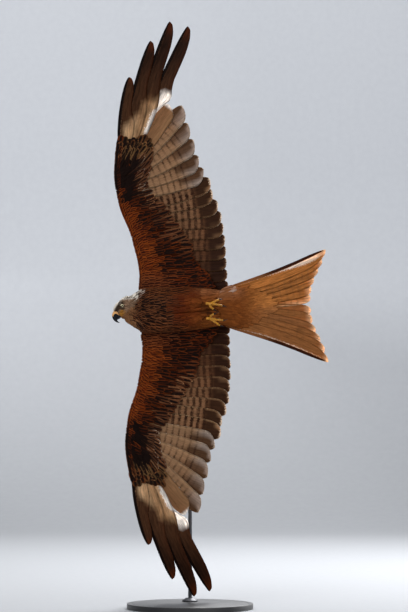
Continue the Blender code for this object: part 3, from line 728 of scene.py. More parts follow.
def finger_look(k, u, v, spot):
    """Outer primaries from below: pale at the base, then brown with a black outer vane and rusty tips."""
    aft, span = spot.T
    inner = ramp(-v, -0.04, 0.1)
    line = curve(FINGER_LINE, aft) + 9 * np.sin(8 * v + 2.3 * k) - 10 * v - 8
    window = 1 - ramp(span, line - 16, line + 12)
    vane = mix("finger inner", "vane dark", ramp(span, 640, 790))
    vane = mix(vane, "vane dark", 0.6 * ramp(-v, 0.4, 0.6) * (1 - ramp(-v, 0.7, 0.95)))
    vane = mix(vane, "rufous", 0.4 * np.maximum(ramp(u, 0.88, 0.97), 0.6 * ramp(-v, 0.75, 0.95)))
    vane = mix("black brown", vane, inner)
    pale = mix("buff", "pale buff", 0.5 + 0.5 * np.sin(11 * v + 1.7 * k))
    pale = mix(mix("black brown", "buff", 0.0 if k == 0 else 0.7), pale, inner)
    below = mix(vane, pale, window)
    if k < FINGERS - 1:
        return below
    # the white edge where the innermost finger bulges beside the window: the window's own white, widened as
    # painted light shining through the vane
    wide = 0.3 + 0.34 * (1 - ramp(span, 590, 622))
    bulge = ramp(span, 520, 560) * (1 - ramp(span, 650, 662)) * ramp(-v, wide, wide + 0.14)
    return mix(below, "white", bulge)


def primary_look(k, away, from_tip):
    """Ground and bars of the inner primaries from below: a dark wedge along the shaft and a pale inner vane,
    away being how far off the shaft it is."""
    if k == FINGERS:
        below = mix("vane mid", "buff", 0.45 + 0.45 * ramp(away, 0.1, 0.9))
        return mix(below, "white", 0.9 * (1 - ramp(from_tip, 5, 14))), 0.0
    inward = 0.1 * (k - FINGERS - 1)
    wide = 0.24 + 0.24 * ramp(from_tip, 0, 20) * (1 - ramp(from_tip, 60, 120)) * (0.8 + inward)
    wedge = (1 - ramp(away, wide - 0.06, wide + 0.08)) * (1 - 0.7 * ramp(from_tip, 80, 150))
    vane = mix("vane pale", "lilac grey", ramp(away, 0.1, 0.6) * (1 - ramp(from_tip, 30, 80)))
    vane = mix(vane, "pale buff", 0.5 * ramp(away, 0.75, 1.0) * ramp(from_tip, 20, 60))
    bars = 0.85 * ramp(from_tip, 30, 60) * (1 - (0.8 - inward) * ramp(away, 0.4, 0.62))
    return mix(vane, "wedge brown", wedge), bars


def secondary_look(k, away, from_tip):
    """Ground and bars of the secondaries from below: barred tan, dark towards the tip, with a pale wedge
    along the inner edge that is painted light, for light through the single layer of vane there."""
    inward = (k - HAND) / (ARM - 1)
    reach = 62 - 8 * inward
    base = mix("vane mid", "inner dark", 0.7 * ramp(inward, 0.3, 0.85))
    paler = 0.5 * (1 - ramp(inward, 0.1, 0.7)) * ramp(from_tip, reach * 0.8, reach * 1.2)
    base = mix(base, "vane pale", paler)
    edge = 0.74 + 0.24 * np.clip(from_tip / 60, 0, 1) + 0.04 * np.sin(from_tip / 9 + k)
    wedge = ramp(away, edge - 0.05, edge + 0.07) * (1 - 0.8 * inward)
    dark = mix("patch brown", "inner dark", inward)
    dark = mix(dark, "vane mid", 0.5 * (1 - ramp(from_tip, 0, 12)))
    patch = 1 - ramp(from_tip, reach * 0.75, reach * 1.1)
    below = mix(base, dark, 0.94 * patch)
    # painted light: the pale wedge at the inner edge stands for light through the single layer of vane
    below = mix(below, mix("vane pale", "buff", 0.5), wedge)
    return below, (0.95 - 0.35 * inward) * ramp(from_tip, reach * 0.66, reach * 0.95)


def remex_look(k, spot, from_tip):
    """Flight feather k at each corner: ground, mark, centre, rim and fringe, and its habit, which is how
    strong its bars and streaks are and how broad its bars."""
    u, v, w = (quill_blade[key] for key in "uvw")
    mark, centre = TONE["bar brown"], 0.03
    if k < FINGERS:
        below, bars, streaks, broad = finger_look(k, u, v, spot), 0.0, 0.45, 0.0
        mark, centre = mix("vane pale", "finger inner", ramp(spot[:, 1], 540, 640)), 0.05
        rim, fringe = mix("vane pale", "finger inner", 0.5), 0.0
        # the window's own white, and painted light: its rim is widened to stand for light shining through
        # the vanes
        if k >= FINGERS - 2:  # white at the inner edge of the window
            last, wide = (650, 0.1) if k == FINGERS - 1 else (606, 0.3)
            white = ramp(spot[:, 1], 505, 545) * (1 - ramp(spot[:, 1], last - 8, last + 8)) * (v < 0)
            rim, fringe = mix(rim, "white", white), wide * white
    elif k < HAND:
        (below, bars), streaks, broad = primary_look(k, -v, from_tip), 0.25, -0.25
        # painted light: the cream rim near the tips stands for light shining through the vane edges
        rim, fringe = TONE["cream"], 0.08 * (1 - ramp(from_tip, 40, 70))
        # the first inner primary's white outer edge: the window's own white, widened as painted light
        # shining through
        if k == FINGERS:
            rim, fringe = TONE["white"], 0.14 * (v > 0) * (1 - ramp(from_tip, 90, 120))
    else:
        (below, bars), streaks, broad = secondary_look(k, -v, from_tip), 0.3, 0.35
        inward = (k - HAND) / (ARM - 1)
        # painted light: the cream rim at the tips stands for light shining through the thin trailing edges
        rim = mix("cream", mix("pale buff", "vane mid", inward), ramp(from_tip, 4, 24))
        fringe = 0.06 - 0.06 * inward + 0.08 * (1 - ramp(from_tip, 4, 22))
    above = mix("mantle", "dark brown", 0.75 if k < HAND else 0.45)
    above = mix(above, "black brown", 0.6 * ramp(u, 0.6, 0.95))
    ground = np.where(faces_below(w), below, above)
    return ground * draw.uniform(0.9, 1.1), mark, centre, rim, fringe, (bars, streaks, broad)

# %% Lay the flight feathers
VANE_POSTS = ((0, 0.383, 0.707, 0.924, 1), (0, 0.06, 0.45, 0.82, 1))  # across the vane, before and after
DROOP = 0.0012  # how a long feather's vanes curve down from the shaft, in mm for each square mm


def fine_blade(shape):
    """A flight feather's blade: the row next to the middle closes in on the shaft, which stands proud."""
    v, w = shape["v"], shape["w"]
    v = np.sign(v) * np.interp(np.abs(v), *VANE_POSTS)
    shaft = np.exp(-((v / 0.05) ** 2))
    return {**shape, "v": v, "w": np.sign(w) * np.minimum(np.abs(w), 1) * (0.35 + 1.5 * shaft)}


quill_blade = fine_blade(long_blade)


def islands(shape, count):
    """A place on the bake map for each loop: every blade has a strip for its upper and its lower face."""
    faces = np.repeat(np.arange(len(shape["totals"])), shape["totals"])
    total = np.bincount(faces, shape["w"][shape["corners"]])
    upper = (total > 0)[faces]
    u, v = shape["u"][shape["corners"]], (shape["v"][shape["corners"]] + 1) / 2
    wide = 1 / (2 * count)
    strips = np.arange(count)[:, None] * 2 + upper[None]
    along = np.broadcast_to(0.02 + 0.96 * u, strips.shape)
    return np.stack((strips * wide + (0.08 + 0.84 * v) * wide, along), -1)


def lay_long_feathers(name, feathers, level, tilt):
    """Flight or tail feathers as one mesh. Each is given by its side, its row in the tables, its outline,
    the width of its inner vane, its spread, and the function that tells its look."""
    made, looks = [], []
    u = quill_blade["u"]

    def height(aft, span, u, v, w, off):
        """They lie like slats: the inner edge of each is under the next one's shaft."""
        return level(aft, span) + tilt * off - DROOP * off**2 * np.sign(off)

    for side, (root, tip, outer, inner, bow), outline, wide, spread, look in feathers:
        root = np.array(root, float)
        reach = np.array(tip, float) - root
        turn = np.array([math.atan2(reach[1], reach[0]) + spread + draw.normal(0, 0.004)])
        length = np.array([np.hypot(*reach)])
        points, spot = place_in_plan(quill_blade, root[None], turn, length, outer, wide, outline, height,
                                     side, 1.0 - 0.6 * u, bow)
        ground, mark, centre, rim, fringe, habit = look(spot[0], length * (1 - u))
        lie = lie_of(quill_blade, length, np.array([float(inner)]), outline)[0]
        habit = np.stack(np.broadcast_arrays(*habit, u)[:3], -1)
        made.append(points[0])
        looks.append(look_layers(ground, mark, centre, rim, fringe, lie, habit))
    looks = {key: np.array([look[key] for look in looks]) for key in looks[0]}
    return join_blades(name, quill_blade, np.array(made), looks, islands(quill_blade, len(made)), quill)


def inner_vane(k, trail):
    """Width of a flight feather's inner vane: notched on the fingers, and cut at the tips on the hand."""
    u = quill_blade["u"]
    if k == FINGERS - 1:
        return trail * curve(BULGE, u)
    if k < FINGERS:
        return trail * (1 + 0.58 * (1 - ramp(u, 0.4, 0.66)))
    if k < HAND:
        return trail * curve(CUT_OUTLINE, u) / np.maximum(curve(POINTED_OUTLINE, u), 0.02)
    return trail


def flight_feathers(side):
    """The twenty flight feathers of one wing as one mesh."""
    outlines = [FINGER_OUTLINE] * FINGERS + [POINTED_OUTLINE] * (HAND - FINGERS) + [FLIGHT_OUTLINE] * ARM
    feathers = [(side, row, outlines[k], inner_vane(k, row[3]), 0.0, partial(remex_look, k))
                for k, row in enumerate(flight_rows())]
    return lay_long_feathers(f"flight_feathers_{SIDES[side]}", feathers, wing_level, 0.1)


remiges = {side: flight_feathers(side) for side in SIDES}

# %% [markdown]
# ## Coverts
#
# Behind the leading edge the wing is tiled with coverts, small on the wrist and longer row by row, and
# each row covers the roots of the next. Only their tips show, so they are set out by where the tips
# fall. Their colours make the kite's pattern below: rufous at the front, dark centres behind it, a black
# patch on the hand, and a ragged dark edge against the pale window of the primaries.

# %% Where the coverts lie
WING_START, WING_END = 60, 534  # span between which coverts lie
EDGE_PITCH = 13.0  # from one to the next in the last row
COVERT_OUTLINE = ((0, 0.4), (0.2, 0.8), (0.5, 1), (0.78, 0.94), (0.92, 0.66), (0.97, 0.42), (1, 0))
LAY = (  # span of the tip, angle outwards in degrees
    (60, -3), (110, 0), (150, 4), (250, 10), (340, 14), (380, 20), (420, 36), (450, 52), (480, 64),
    (530, 78),
)
EDGE_BELOW = (  # span, how far aft the coverts reach below
    (60, 128), (90, 115), (138, 76), (200, 58), (263, 16), (327, -25), (373, -60), (410, -60), (444, -54),
    (490, -46), (512, -46), (522, -60), (530, -110), (534, -142),
)
EDGE_ABOVE = (
    (60, 140), (90, 126), (138, 108), (200, 82), (263, 48), (327, 4), (373, -26), (420, -44), (460, -56),
    (500, -78), (530, -112), (548, -142),
)


def covert_tips(edge):
    """Tips of all coverts of one face of a wing, in rows from the leading edge, with the space of each."""
    rows = []
    back = 2.0
    while back < 260:
        step = 12 + 0.16 * back
        across = 7.8 + 0.024 * back
        span = np.arange(WING_START + across * draw.uniform(0, 1), WING_END, across)
        span = span + draw.uniform(-0.3, 0.3, len(span)) * across
        loose = step * min(0.12 + back / 40, 1)
        aft = curve(CORE, span) + back + draw.uniform(-0.3, 0.3, len(span)) * loose
        keep = (aft < curve(edge, span) - 3) & (span < WING_END - 15)
        rows.append(np.stack((aft, span, np.full(len(span), back), np.full(len(span), across)), -1)[keep])
        back += step
    # a last row along the edge, and three that close the end of the hand
    last = np.arange(62, 512, EDGE_PITCH)
    last = last + draw.uniform(-0.2, 0.2, len(last)) * EDGE_PITCH
    depth = curve(edge, last) - curve(CORE, last)
    aft = curve(edge, last) + draw.uniform(-5, 3, len(last))
    rows.append(np.stack((aft, last, depth, 0 * last + 15), -1))
    for end in (499, 513, 528):
        aft = np.arange(-142 + end % 7, curve(edge, 500), 12.5)
        rows.append(np.stack((aft, end + draw.uniform(-10, 5, len(aft)), aft + 152, 0 * aft + 18), -1))
    tips = np.concatenate(rows)
    return tips[:, :2], tips[:, 2], tips[:, 3]


def patches(points, size, seed):
    """Soft patches from -1 to 1, about size mm apart, at places in a plane."""
    turns = np.random.default_rng(seed).uniform(0, 2 * math.pi, (6, 3))
    total = np.zeros(len(points))
    for heading, start, stretch in turns:
        way = points[:, 0] * math.cos(heading) + points[:, 1] * math.sin(heading)
        total += np.sin(way * (4 + stretch / 3) / size + start)
    return np.clip(total / 2.4, -1, 1)


def covert_look_below(tips, back, edge):
    """Ground, mark, centre, rim and fringe of the under-wing coverts, by where the tips lie."""
    aft, span = tips[:, 0], tips[:, 1]
    left = curve(edge, span) - aft
    clumps = patches(tips, 42, 5)
    chance = draw.uniform(0, 1, (6, len(span)))
    # rufous lesser coverts in front, and long dark ones with rufous edges behind them
    front = curve(((60, 122), (100, 98), (200, 74), (300, 56), (534, 46)), span)
    rear = ramp(back + 18 * clumps, front - 24, front + 22)
    ground = mix("rufous bright", "rufous", 0.35 + 0.65 * chance[0])
    ground = mix(ground, "rufous dark", rear * (0.55 + 0.45 * chance[1]))
    mark = mix("streak", "black brown", rear)
    centre = (0.44 + 0.2 * rear) * (0.65 + 0.55 * chance[2])
    rim = mix("rufous bright", "rufous", rear)
    fringe = 0.08 * chance[3]
    # near the body they take the breast's darker, greyer tone
    near = (1 - ramp(span, 76, 135)) * (1 - ramp(aft, 20, 110))
    ground = mix(ground, "breast", 0.6 * near)
    rim = mix(rim, "breast edge", 0.45 * near)
    centre = centre + 0.1 * near
    # mid wing: greyer greater coverts with pale tips
    pale = ramp(span, 130, 240) * (1 - ramp(span, 392, 430)) * (1 - ramp(left + 12 * clumps, 14, 44))
    bright = pale * chance[4] ** 1.5
    ground = mix(ground, mix("vane mid", "brown", chance[5]), 0.85 * pale)
    rim = mix(rim, "buff", bright)
    centre = centre * (1 - 0.3 * pale)
    fringe = fringe + 0.22 * bright
    # the black patch on the hand, blotched with rufous fringes
    inner_end = 350 + 20 * clumps + 20 * (chance[0] - 0.5)
    hand = ramp(span, inner_end - 8, inner_end + 8) * (1 - 0.6 * ramp(4 - left, 0, 8) * (chance[1] > 0.5))
    blotch = ramp(chance[2] + 0.35 * patches(tips, 26, 8), 0.8, 1.05) * (1 - 0.8 * ramp(back, 50, 84))
    ground = mix(ground, mix("black brown", "rufous", 0.55 * blotch), hand)
    mark = mix(mark, "black brown", hand)
    centre = blend(centre, 0.5, hand)
    rim = mix(rim, mix("black brown", "rufous bright", 0.1 + 0.8 * blotch), hand)
    fringe = blend(fringe, 0.05 + 0.2 * blotch, hand)
    # brown greater coverts with cream tips between the patch and the primaries
    behind = ramp(span, 345, 372) * (1 - ramp(span, 486, 500)) * (1 - ramp(left + 8 * clumps, 16, 36))
    ground = mix(ground, mix("brown", "vane mid", chance[5]), 0.85 * behind)
    rim = mix(rim, "cream", behind * chance[4])
    centre = centre * (1 - 0.3 * behind)
    fringe = blend(fringe, 0.22 * chance[4], behind)
    # towards the end of the hand the fringes turn buff, and the last rows are scalloped
    lobes = ramp(span + 7 * clumps, 466, 484)
    tips_dark = 1 - 0.6 * ramp(span, 512, 520)
    rim = mix(rim, mix("rufous bright", "buff", chance[3]), lobes)
    ground = mix(ground, "tan", 0.7 * lobes * chance[4] * tips_dark)
    centre = blend(centre, 0.3 + 0.25 * chance[5], lobes)
    fringe = blend(fringe, 0.3 * chance[1] * tips_dark, lobes)
    # the leading edge of the hand: a black rim with a broken rufous line behind it
    hand_edge = ramp(span, 336, 360)
    line = ramp(back, 8, 11) * (1 - ramp(back, 12, 17)) * hand_edge * (0.2 + 0.6 * chance[0])
    black = (1 - ramp(back, 8, 10)) * hand_edge
    ground = mix(mix(ground, "rufous", line), "black brown", black)
    rim = mix(mix(rim, "rufous bright", 0.6 * line), "black brown", black)
    return ground, mark, centre, rim, fringe


def covert_look_above(tips, back, edge):
    """The same for the upper wing: rufous-brown with dark centres, a pale band, and dark greater coverts."""
    span = tips[:, 1]
    chord = curve(edge, span) - curve(CORE, span)
    share = back / np.maximum(chord, 30)
    hand = ramp(span, 370, 430)
    ground = mix("mantle", "brown", ramp(share, 0.55, 0.8))
    centre = (0.36 + 0.15 * ramp(share, 0.3, 0.6)) * draw.uniform(0.7, 1.2, len(span))
    rim = mix("rufous bright", "mantle edge", ramp(share, 0.1, 0.4))
    band = ramp(share, 0.34, 0.46) * (1 - ramp(share, 0.66, 0.8)) * (1 - 0.6 * hand)
    ground = mix(ground, "back band", 0.6 * band)
    rim = mix(rim, "pale buff", 0.7 * band)
    ground = mix(ground, "dark brown", 0.85 * hand * ramp(share, 0.3, 0.6))
    return ground, TONE["dark brown"], centre, rim, 0.1 + 0.05 * draw.uniform(-1, 1, len(span))

# %% Lay the coverts
def lay_small(name, root, turn, length, half, height, side, root_place, look, streaks):
    """Coverts of a wing or the tail as one mesh. root_place is where their roots are in the bird's frame."""
    points, _ = place_in_plan(covert_blade, root, turn, length, half[:, None], half[:, None], COVERT_OUTLINE,
                              height, side, COVERT_THICK)
    looks = look_layers(*look, lie_of(covert_blade, length, half, COVERT_OUTLINE), (0.0, streaks, 0.0))
    return join_blades(name, covert_blade, points, looks, face_uv[on_skin(to_room(root_place))[2]], down)


def lay_coverts(name, side, below, tips, length, turn, half, look, streaks):
    """Coverts by their tips on one face of one wing. Their length and turn are as laid, before the roots
    are drawn back behind the leading edge."""
    root = tips - np.stack((np.cos(turn), np.sin(turn)), -1) * length[:, None]
    root[:, 0] = np.maximum(root[:, 0], curve(CORE, root[:, 1]) + 0.5)
    reach = tips - root
    turn, length = np.arctan2(reach[:, 1], reach[:, 0]), np.hypot(reach[:, 0], reach[:, 1])
    puff, shade = draw.uniform(0, 0.7, (len(tips), 1)), draw.uniform(0.84, 1.18, (len(tips), 1))
    ground, mark, centre, rim, fringe = look
    look = (ground * shade, mark, centre, rim * shade, fringe)
    sign = -1 if below else 1

    def height(aft, span, u, v, w, off):
        """They lie on the flesh of the wing, with their tips raised."""
        lift = 0.2 + puff * u + 2.0 * u - 0.5 * v**2
        under = armpit(aft, span) if below else 0.0
        return wing_level(aft, span) + sign * (wing_depth(aft, span) + under + lift - 1.0) + 0.03 * off

    root_place = np.stack((root[:, 0], wing_level(root[:, 0], root[:, 1]), side * root[:, 1]), -1)
    return lay_small(name, root, turn, length, half, height, side, root_place, look, streaks)


def coverts(side, below):
    """All coverts of one face of one wing as one mesh."""
    edge = EDGE_BELOW if below else EDGE_ABOVE
    tips, back, across = covert_tips(edge)
    aft, span = tips.T
    count = len(tips)
    look = (covert_look_below if below else covert_look_above)(tips, back, edge)
    turn = np.radians(curve(LAY, span) + draw.normal(0, 4, count) + 7 * patches(tips, 60, 9))
    turn = turn + np.radians(14) * (1 - ramp(back, 10, 70)) * (1 - ramp(span, 330, 400))
    turn = turn - np.radians(34) * ramp(aft, -120, -50) * ramp(span, 440, 500)
    length = curve(((0, 26), (40, 42), (90, 60), (150, 76), (230, 90)), back)
    length = length + (62 - length) * ramp(span, 440, 500) * ramp(back, 6, 30)
    length = length * draw.uniform(0.93, 1.07, count)
    name = f"coverts_{'under' if below else 'upper'}_{SIDES[side]}"
    return lay_coverts(name, side, below, tips, length, turn, across * 0.6, look, 0.3)


def axillaries(side):
    """The long loose feathers of the armpit, which lie along the body and hide where the wing begins."""
    layers = (np.arange(64, 128, 6.0), np.arange(67, 116, 7.0), np.arange(62, 100, 8.0))
    span = np.concatenate(layers)
    count = len(span)
    span = span + draw.uniform(-2, 2, count)
    shorter = np.repeat((0, 34, 66), [len(layer) for layer in layers])
    aft = 128 - 0.62 * (span - 60) + draw.uniform(-20, 4, count) - shorter
    ground = mix("rufous", "rufous dark", draw.uniform(0.2, 0.9, count))
    centre = draw.uniform(0.3, 0.7, count)
    rim = mix("rufous", "breast edge", draw.uniform(0, 0.7, count))
    look = (ground, TONE["black brown"], centre, rim, 0.06)
    length = draw.uniform(88, 118, count)
    turn = np.radians(draw.normal(-1, 2, count))
    return lay_coverts(f"axillaries_{SIDES[side]}", side, True, np.stack((aft, span), -1), length, turn,
                       draw.uniform(6, 8.5, count), look, 0.45)


wing_coverts = {(side, below): coverts(side, below) for side in SIDES for below in (True, False)}
armpits = {side: axillaries(side) for side in SIDES}

# %% [markdown]
# ## Tail
#
# A kite's tail is forked: the outer feathers are the longest. It is rufous orange, with faint bars, a dark
# outer edge, and pale tips where the sun shines through. Soft coverts hide its roots above and below.

# %% Tail feathers
TAIL = (  # root aft and side, tip aft and side, outer and inner vane, bow
    ((168, 8), (408, 19), 18, 20, 0),
    ((166, 18), (411, 50), 16, 28, 0),
    ((163, 28), (420, 81), 15, 30, -2),
    ((160, 38), (433, 110), 14, 30, -4),
    ((156, 47), (446, 137), 13, 30, -7),
    ((151, 56), (459, 161), 9, 30, -10),
)
OUTERMOST = len(TAIL) - 1
TAIL_SPREAD = {1: -0.005, -1: 0.05}  # how much farther the outermost feather of each side opens, in radians


def tail_look(k, side, _, from_tip):
    """The same as remex_look for tail feather k of one side."""
    u, v, w = (quill_blade[key] for key in "uvw")
    base = mix("tail orange", "tail brown", (0.15 if side > 0 else 0.8) + draw.uniform(-0.15, 0.15))
    # painted light: the pale tips stand for light shining through the thin ends of the vanes
    below = mix(base, "tail pale", 0.6 * ramp(from_tip, 26, 4))
    mark, centre, bars = TONE["tail brown"], -0.1, 0.45 * ramp(from_tip, 12, 40)
    if k == 0:
        below = mix(below, "tail pale", 0.7 * ramp(-side * v, 0.3, 0.7) * ramp(u, 0.5, 0.8))
    if k == OUTERMOST:  # a dark outer vane, and inside it a pale strip, wider towards the tip on the left
        below = mix(below, mix("tail brown", "brown", ramp(u, 0.3, 0.5)), ramp(v, 0.0, 0.06))
        mark = mix("white", "tail pale", 0.2 + 0.6 * ramp(u, 0.6, 0.95) + 0.2 * (side < 0))
        wide, start = (0.1 + 0.5 * ramp(u, 0.45, 0.95), (0.34, 0.44)) if side > 0 else (0.12, (0.1, 0.3))
        centre, bars = wide * ramp(u, *start) * (v <= 0), 0.0
    ground = np.where(faces_below(w), below, mix("tail orange", "rufous bright", 0.4))
    # painted light: a brightened pale rim at the tips, for light shining through them
    fringe = 0.24 * ramp(u, 0.9, 0.97) - 0.06
    rim = TONE["tail pale"] * 1.15
    return ground * draw.uniform(0.9, 1.1), mark, centre, rim, fringe, (bars, 0.4, -0.3)


def tail_feathers():
    """The twelve tail feathers as one mesh."""
    feathers = [(side, row, POINTED_OUTLINE if k == OUTERMOST else FLIGHT_OUTLINE, row[3],
                 TAIL_SPREAD[side] * k / OUTERMOST, partial(tail_look, k, side))
                for side in SIDES for k, row in enumerate(TAIL)]
    return lay_long_feathers("tail_feathers", feathers, tail_level, 0.11)


rectrices = tail_feathers()

# %% Tail coverts
def tail_covert_tone(aft, span):
    """Ground of the coverts under the tail: rufous at the vent, painted shade between the feet, orange to
    the end.
    """
    low = ramp(-span + 16 * patches(np.stack((aft, span), -1), 50, 4), -20, 30)
    end = mix("tail orange", "tail brown", 0.2 + 0.6 * low)
    tone = 0.9 * mix("vent", end, ramp(aft, 200, 305))
    tone = mix(tone, "breast edge", 0.3 * ramp(span, 10, 50) * (1 - ramp(aft, 180, 240)))
    # painted shade: black brown between the feet, standing for their shadow
    shadow_between_feet = np.exp(-(((aft - 116) / 24) ** 2) - ((span + 8) / 10) ** 2)
    tone = mix(tone, "black brown", 0.9 * shadow_between_feet)
    tuft = np.exp(-((np.hypot(aft - 184, span - 55) / 4) ** 2))
    return mix(tone, "white", 0.9 * tuft)


def tail_coverts(below):
    """Long soft coverts over the tail's roots on one face."""
    tips = []
    for row, aft in enumerate(np.arange(172, 306, 8.0)):
        wide = curve(((172, 58), (220, 60), (260, 46), (304, 16)), aft)
        span = np.arange(-wide, wide, 6.5) + 3.2 * (row % 2)
        tips.append(np.stack((np.full(len(span), aft), span), -1))
    tips = np.concatenate(tips)
    count = len(tips)
    loose = 3 + 9 * ramp(tips[:, 0], 220, 300)
    tips[:, 0] += draw.uniform(-1, 1, count) * loose
    tips[:, 1] += draw.uniform(-3, 3, count)
    aft, span = tips.T
    turn = np.radians(span * 0.28 + draw.normal(0, 2.5, count))
    length = curve(((172, 40), (230, 60), (300, 84)), aft) * draw.uniform(0.93, 1.07, count)
    root = tips - np.stack((np.cos(turn), np.sin(turn)), -1) * length[:, None]
    puff, shade = draw.uniform(0, 0.5, (count, 1)), draw.uniform(0.84, 1.16, (count, 1))
    sign, column = (-1, 3) if below else (1, 2)

    def height(aft, span, u, v, w, off):
        """They lie on the root of the tail, and thin out over its feathers."""
        deep = np.maximum(curve(TAIL_ROOT, aft, column), 1.0)
        wide = np.maximum(curve(TAIL_ROOT, aft, 1), 12) + 6
        deep = deep * np.sqrt(np.clip(1 - (span / wide) ** 2, 0, 1))
        flatter = 1 - 0.6 * ramp(aft, 220, 290)
        lift = np.maximum(deep, 1.4) + 1.4 + (1.4 + puff) * u * flatter - 0.5 * v**2
        return tail_level(aft, span) + sign * lift

    tone = tail_covert_tone(aft, span) if below else mix("rufous", "tail orange", ramp(aft, 200, 280))
    tone = tone * shade
    look = (tone, tone * 0.75, 0.08, tone * 1.1, 0.06)
    root_place = np.stack((root[:, 0], tail_level(root[:, 0], 0), root[:, 1]), -1)
    name = f"tail_coverts_{'under' if below else 'upper'}"
    return lay_small(name, root, turn, length, np.full(count, 6.0), height, 1, root_place, look, 0.4)


tail_cover = [tail_coverts(True), tail_coverts(False)]

# %% [markdown]
# ## Body feathers
#
# The body's feathers are small, so a flat map of places would smear round its curves. Each one is set
# by its tip on the skin itself, and every corner of its blade is then dropped onto the skin and raised
# by the lie of the coat, so that it hugs the body like a shingle.

# %% Lay feathers on the skin
BODY_OUTLINE = ((0, 0.45), (0.3, 0.9), (0.6, 1), (0.82, 0.8), (0.94, 0.5), (1, 0))
HACKLE_OUTLINE = ((0, 0.5), (0.3, 0.95), (0.5, 1), (0.75, 0.7), (0.92, 0.3), (1, 0))


def lay_on_skin(name, tips, lie, length, half, lift, look, outline=BODY_OUTLINE):
    """Feathers whose tips lie at the given places in the bird's frame. lie is the way each one points, lift
    how high its root and tip stand off the skin in mm, and look its colours and streaks."""
    spots, normals, _ = on_skin(to_room(tips))
    along = to_room(tips + lie) - to_room(tips)
    along -= normals * (along * normals).sum(-1, keepdims=True)
    along /= np.maximum(np.linalg.norm(along, axis=-1, keepdims=True), 1e-9)
    side = np.cross(normals, along)
    u, v, w = (body_blade[key][None, :, None] for key in "uvw")
    wide = curve(outline, body_blade["u"])[None, :, None]
    long_way, half_way = length[:, None, None] * MM, half[:, None, None] * MM
    flat = spots[:, None] - along[:, None] * (1 - u) * long_way + side[:, None] * v * wide * half_way
    base, out, _ = on_skin(flat)
    puff = draw.uniform(0.85, 1.25, (len(tips), 1, 1))
    raised = (lift[0] + (lift[1] - lift[0]) * u * puff - 0.25 * lift[1] * v**2) + w * BODY_THICK
    looks = look_layers(*look[:5], lie_of(body_blade, length, half, outline), (0.0, look[5], 0.0))
    root_faces = on_skin(flat[:, np.argmin(body_blade["u"])])[2]
    return join_blades(name, body_blade, base + out * raised * MM, looks, face_uv[root_faces], down)


def ring_angles(count, row):
    """Even angles round a ring, staggered in every other row."""
    return (np.arange(count) + 0.5 * (row % 2)) / count * 2 * math.pi

# %% Head and body colours
CROWN_LINE = (  # forward, up above which the crown and nape are pale
    (-70, -20), (-55, -14), (-31, 1), (-18, 6.5), (4, 10.5), (15, 9.5), (30, 4), (36, -1),
)


def head_look(forward, up, out):
    """Colours of the head and neck by place, measured from the eye."""
    count = len(forward)
    side = ramp(np.abs(out), 3, 9)
    throat = ramp(-up - 0.16 * np.maximum(-forward, 0), 18, 30)
    pale = ramp(up - curve(CROWN_LINE, forward), -3, 2.5)
    ground = mix("grey face", "throat brown", throat)
    lore = ramp(8 - np.abs(up - 6.5 + 0.22 * forward), 0, 4)
    lore = lore * ramp(forward, -10, 2) * (1 - ramp(forward, 26, 31))
    ring = 1 - ramp(np.hypot(forward, up + 1.5), 9, 13)
    ground = mix(ground, "face dark", 0.95 * np.maximum(lore, ring) * side)
    ground = mix(ground, "grey white", pale)
    flecks = draw.uniform(0, 1, count)
    gape = ramp(17 - np.hypot(forward - 14.5, (up + 17.5) * 1.6), 0, 9) * side
    ground = mix(ground, "gape gold", gape * (0.7 + 0.3 * flecks))
    nape = pale * ramp(-forward, 8, 26)
    plain = np.clip(gape + 0.8 * throat, 0, 1)
    centre = (0.04 + 0.3 * flecks**2 + 0.4 * nape * flecks) * (1 - plain) * (1 - pale + nape)
    rim = mix(ground, "white", (0.08 + 0.35 * pale) * (1 - gape))
    shade = draw.uniform(0.88, 1.12, (count, 1))
    return ground * shade, TONE["face dark"], centre, rim * shade, 0.1, 0.15


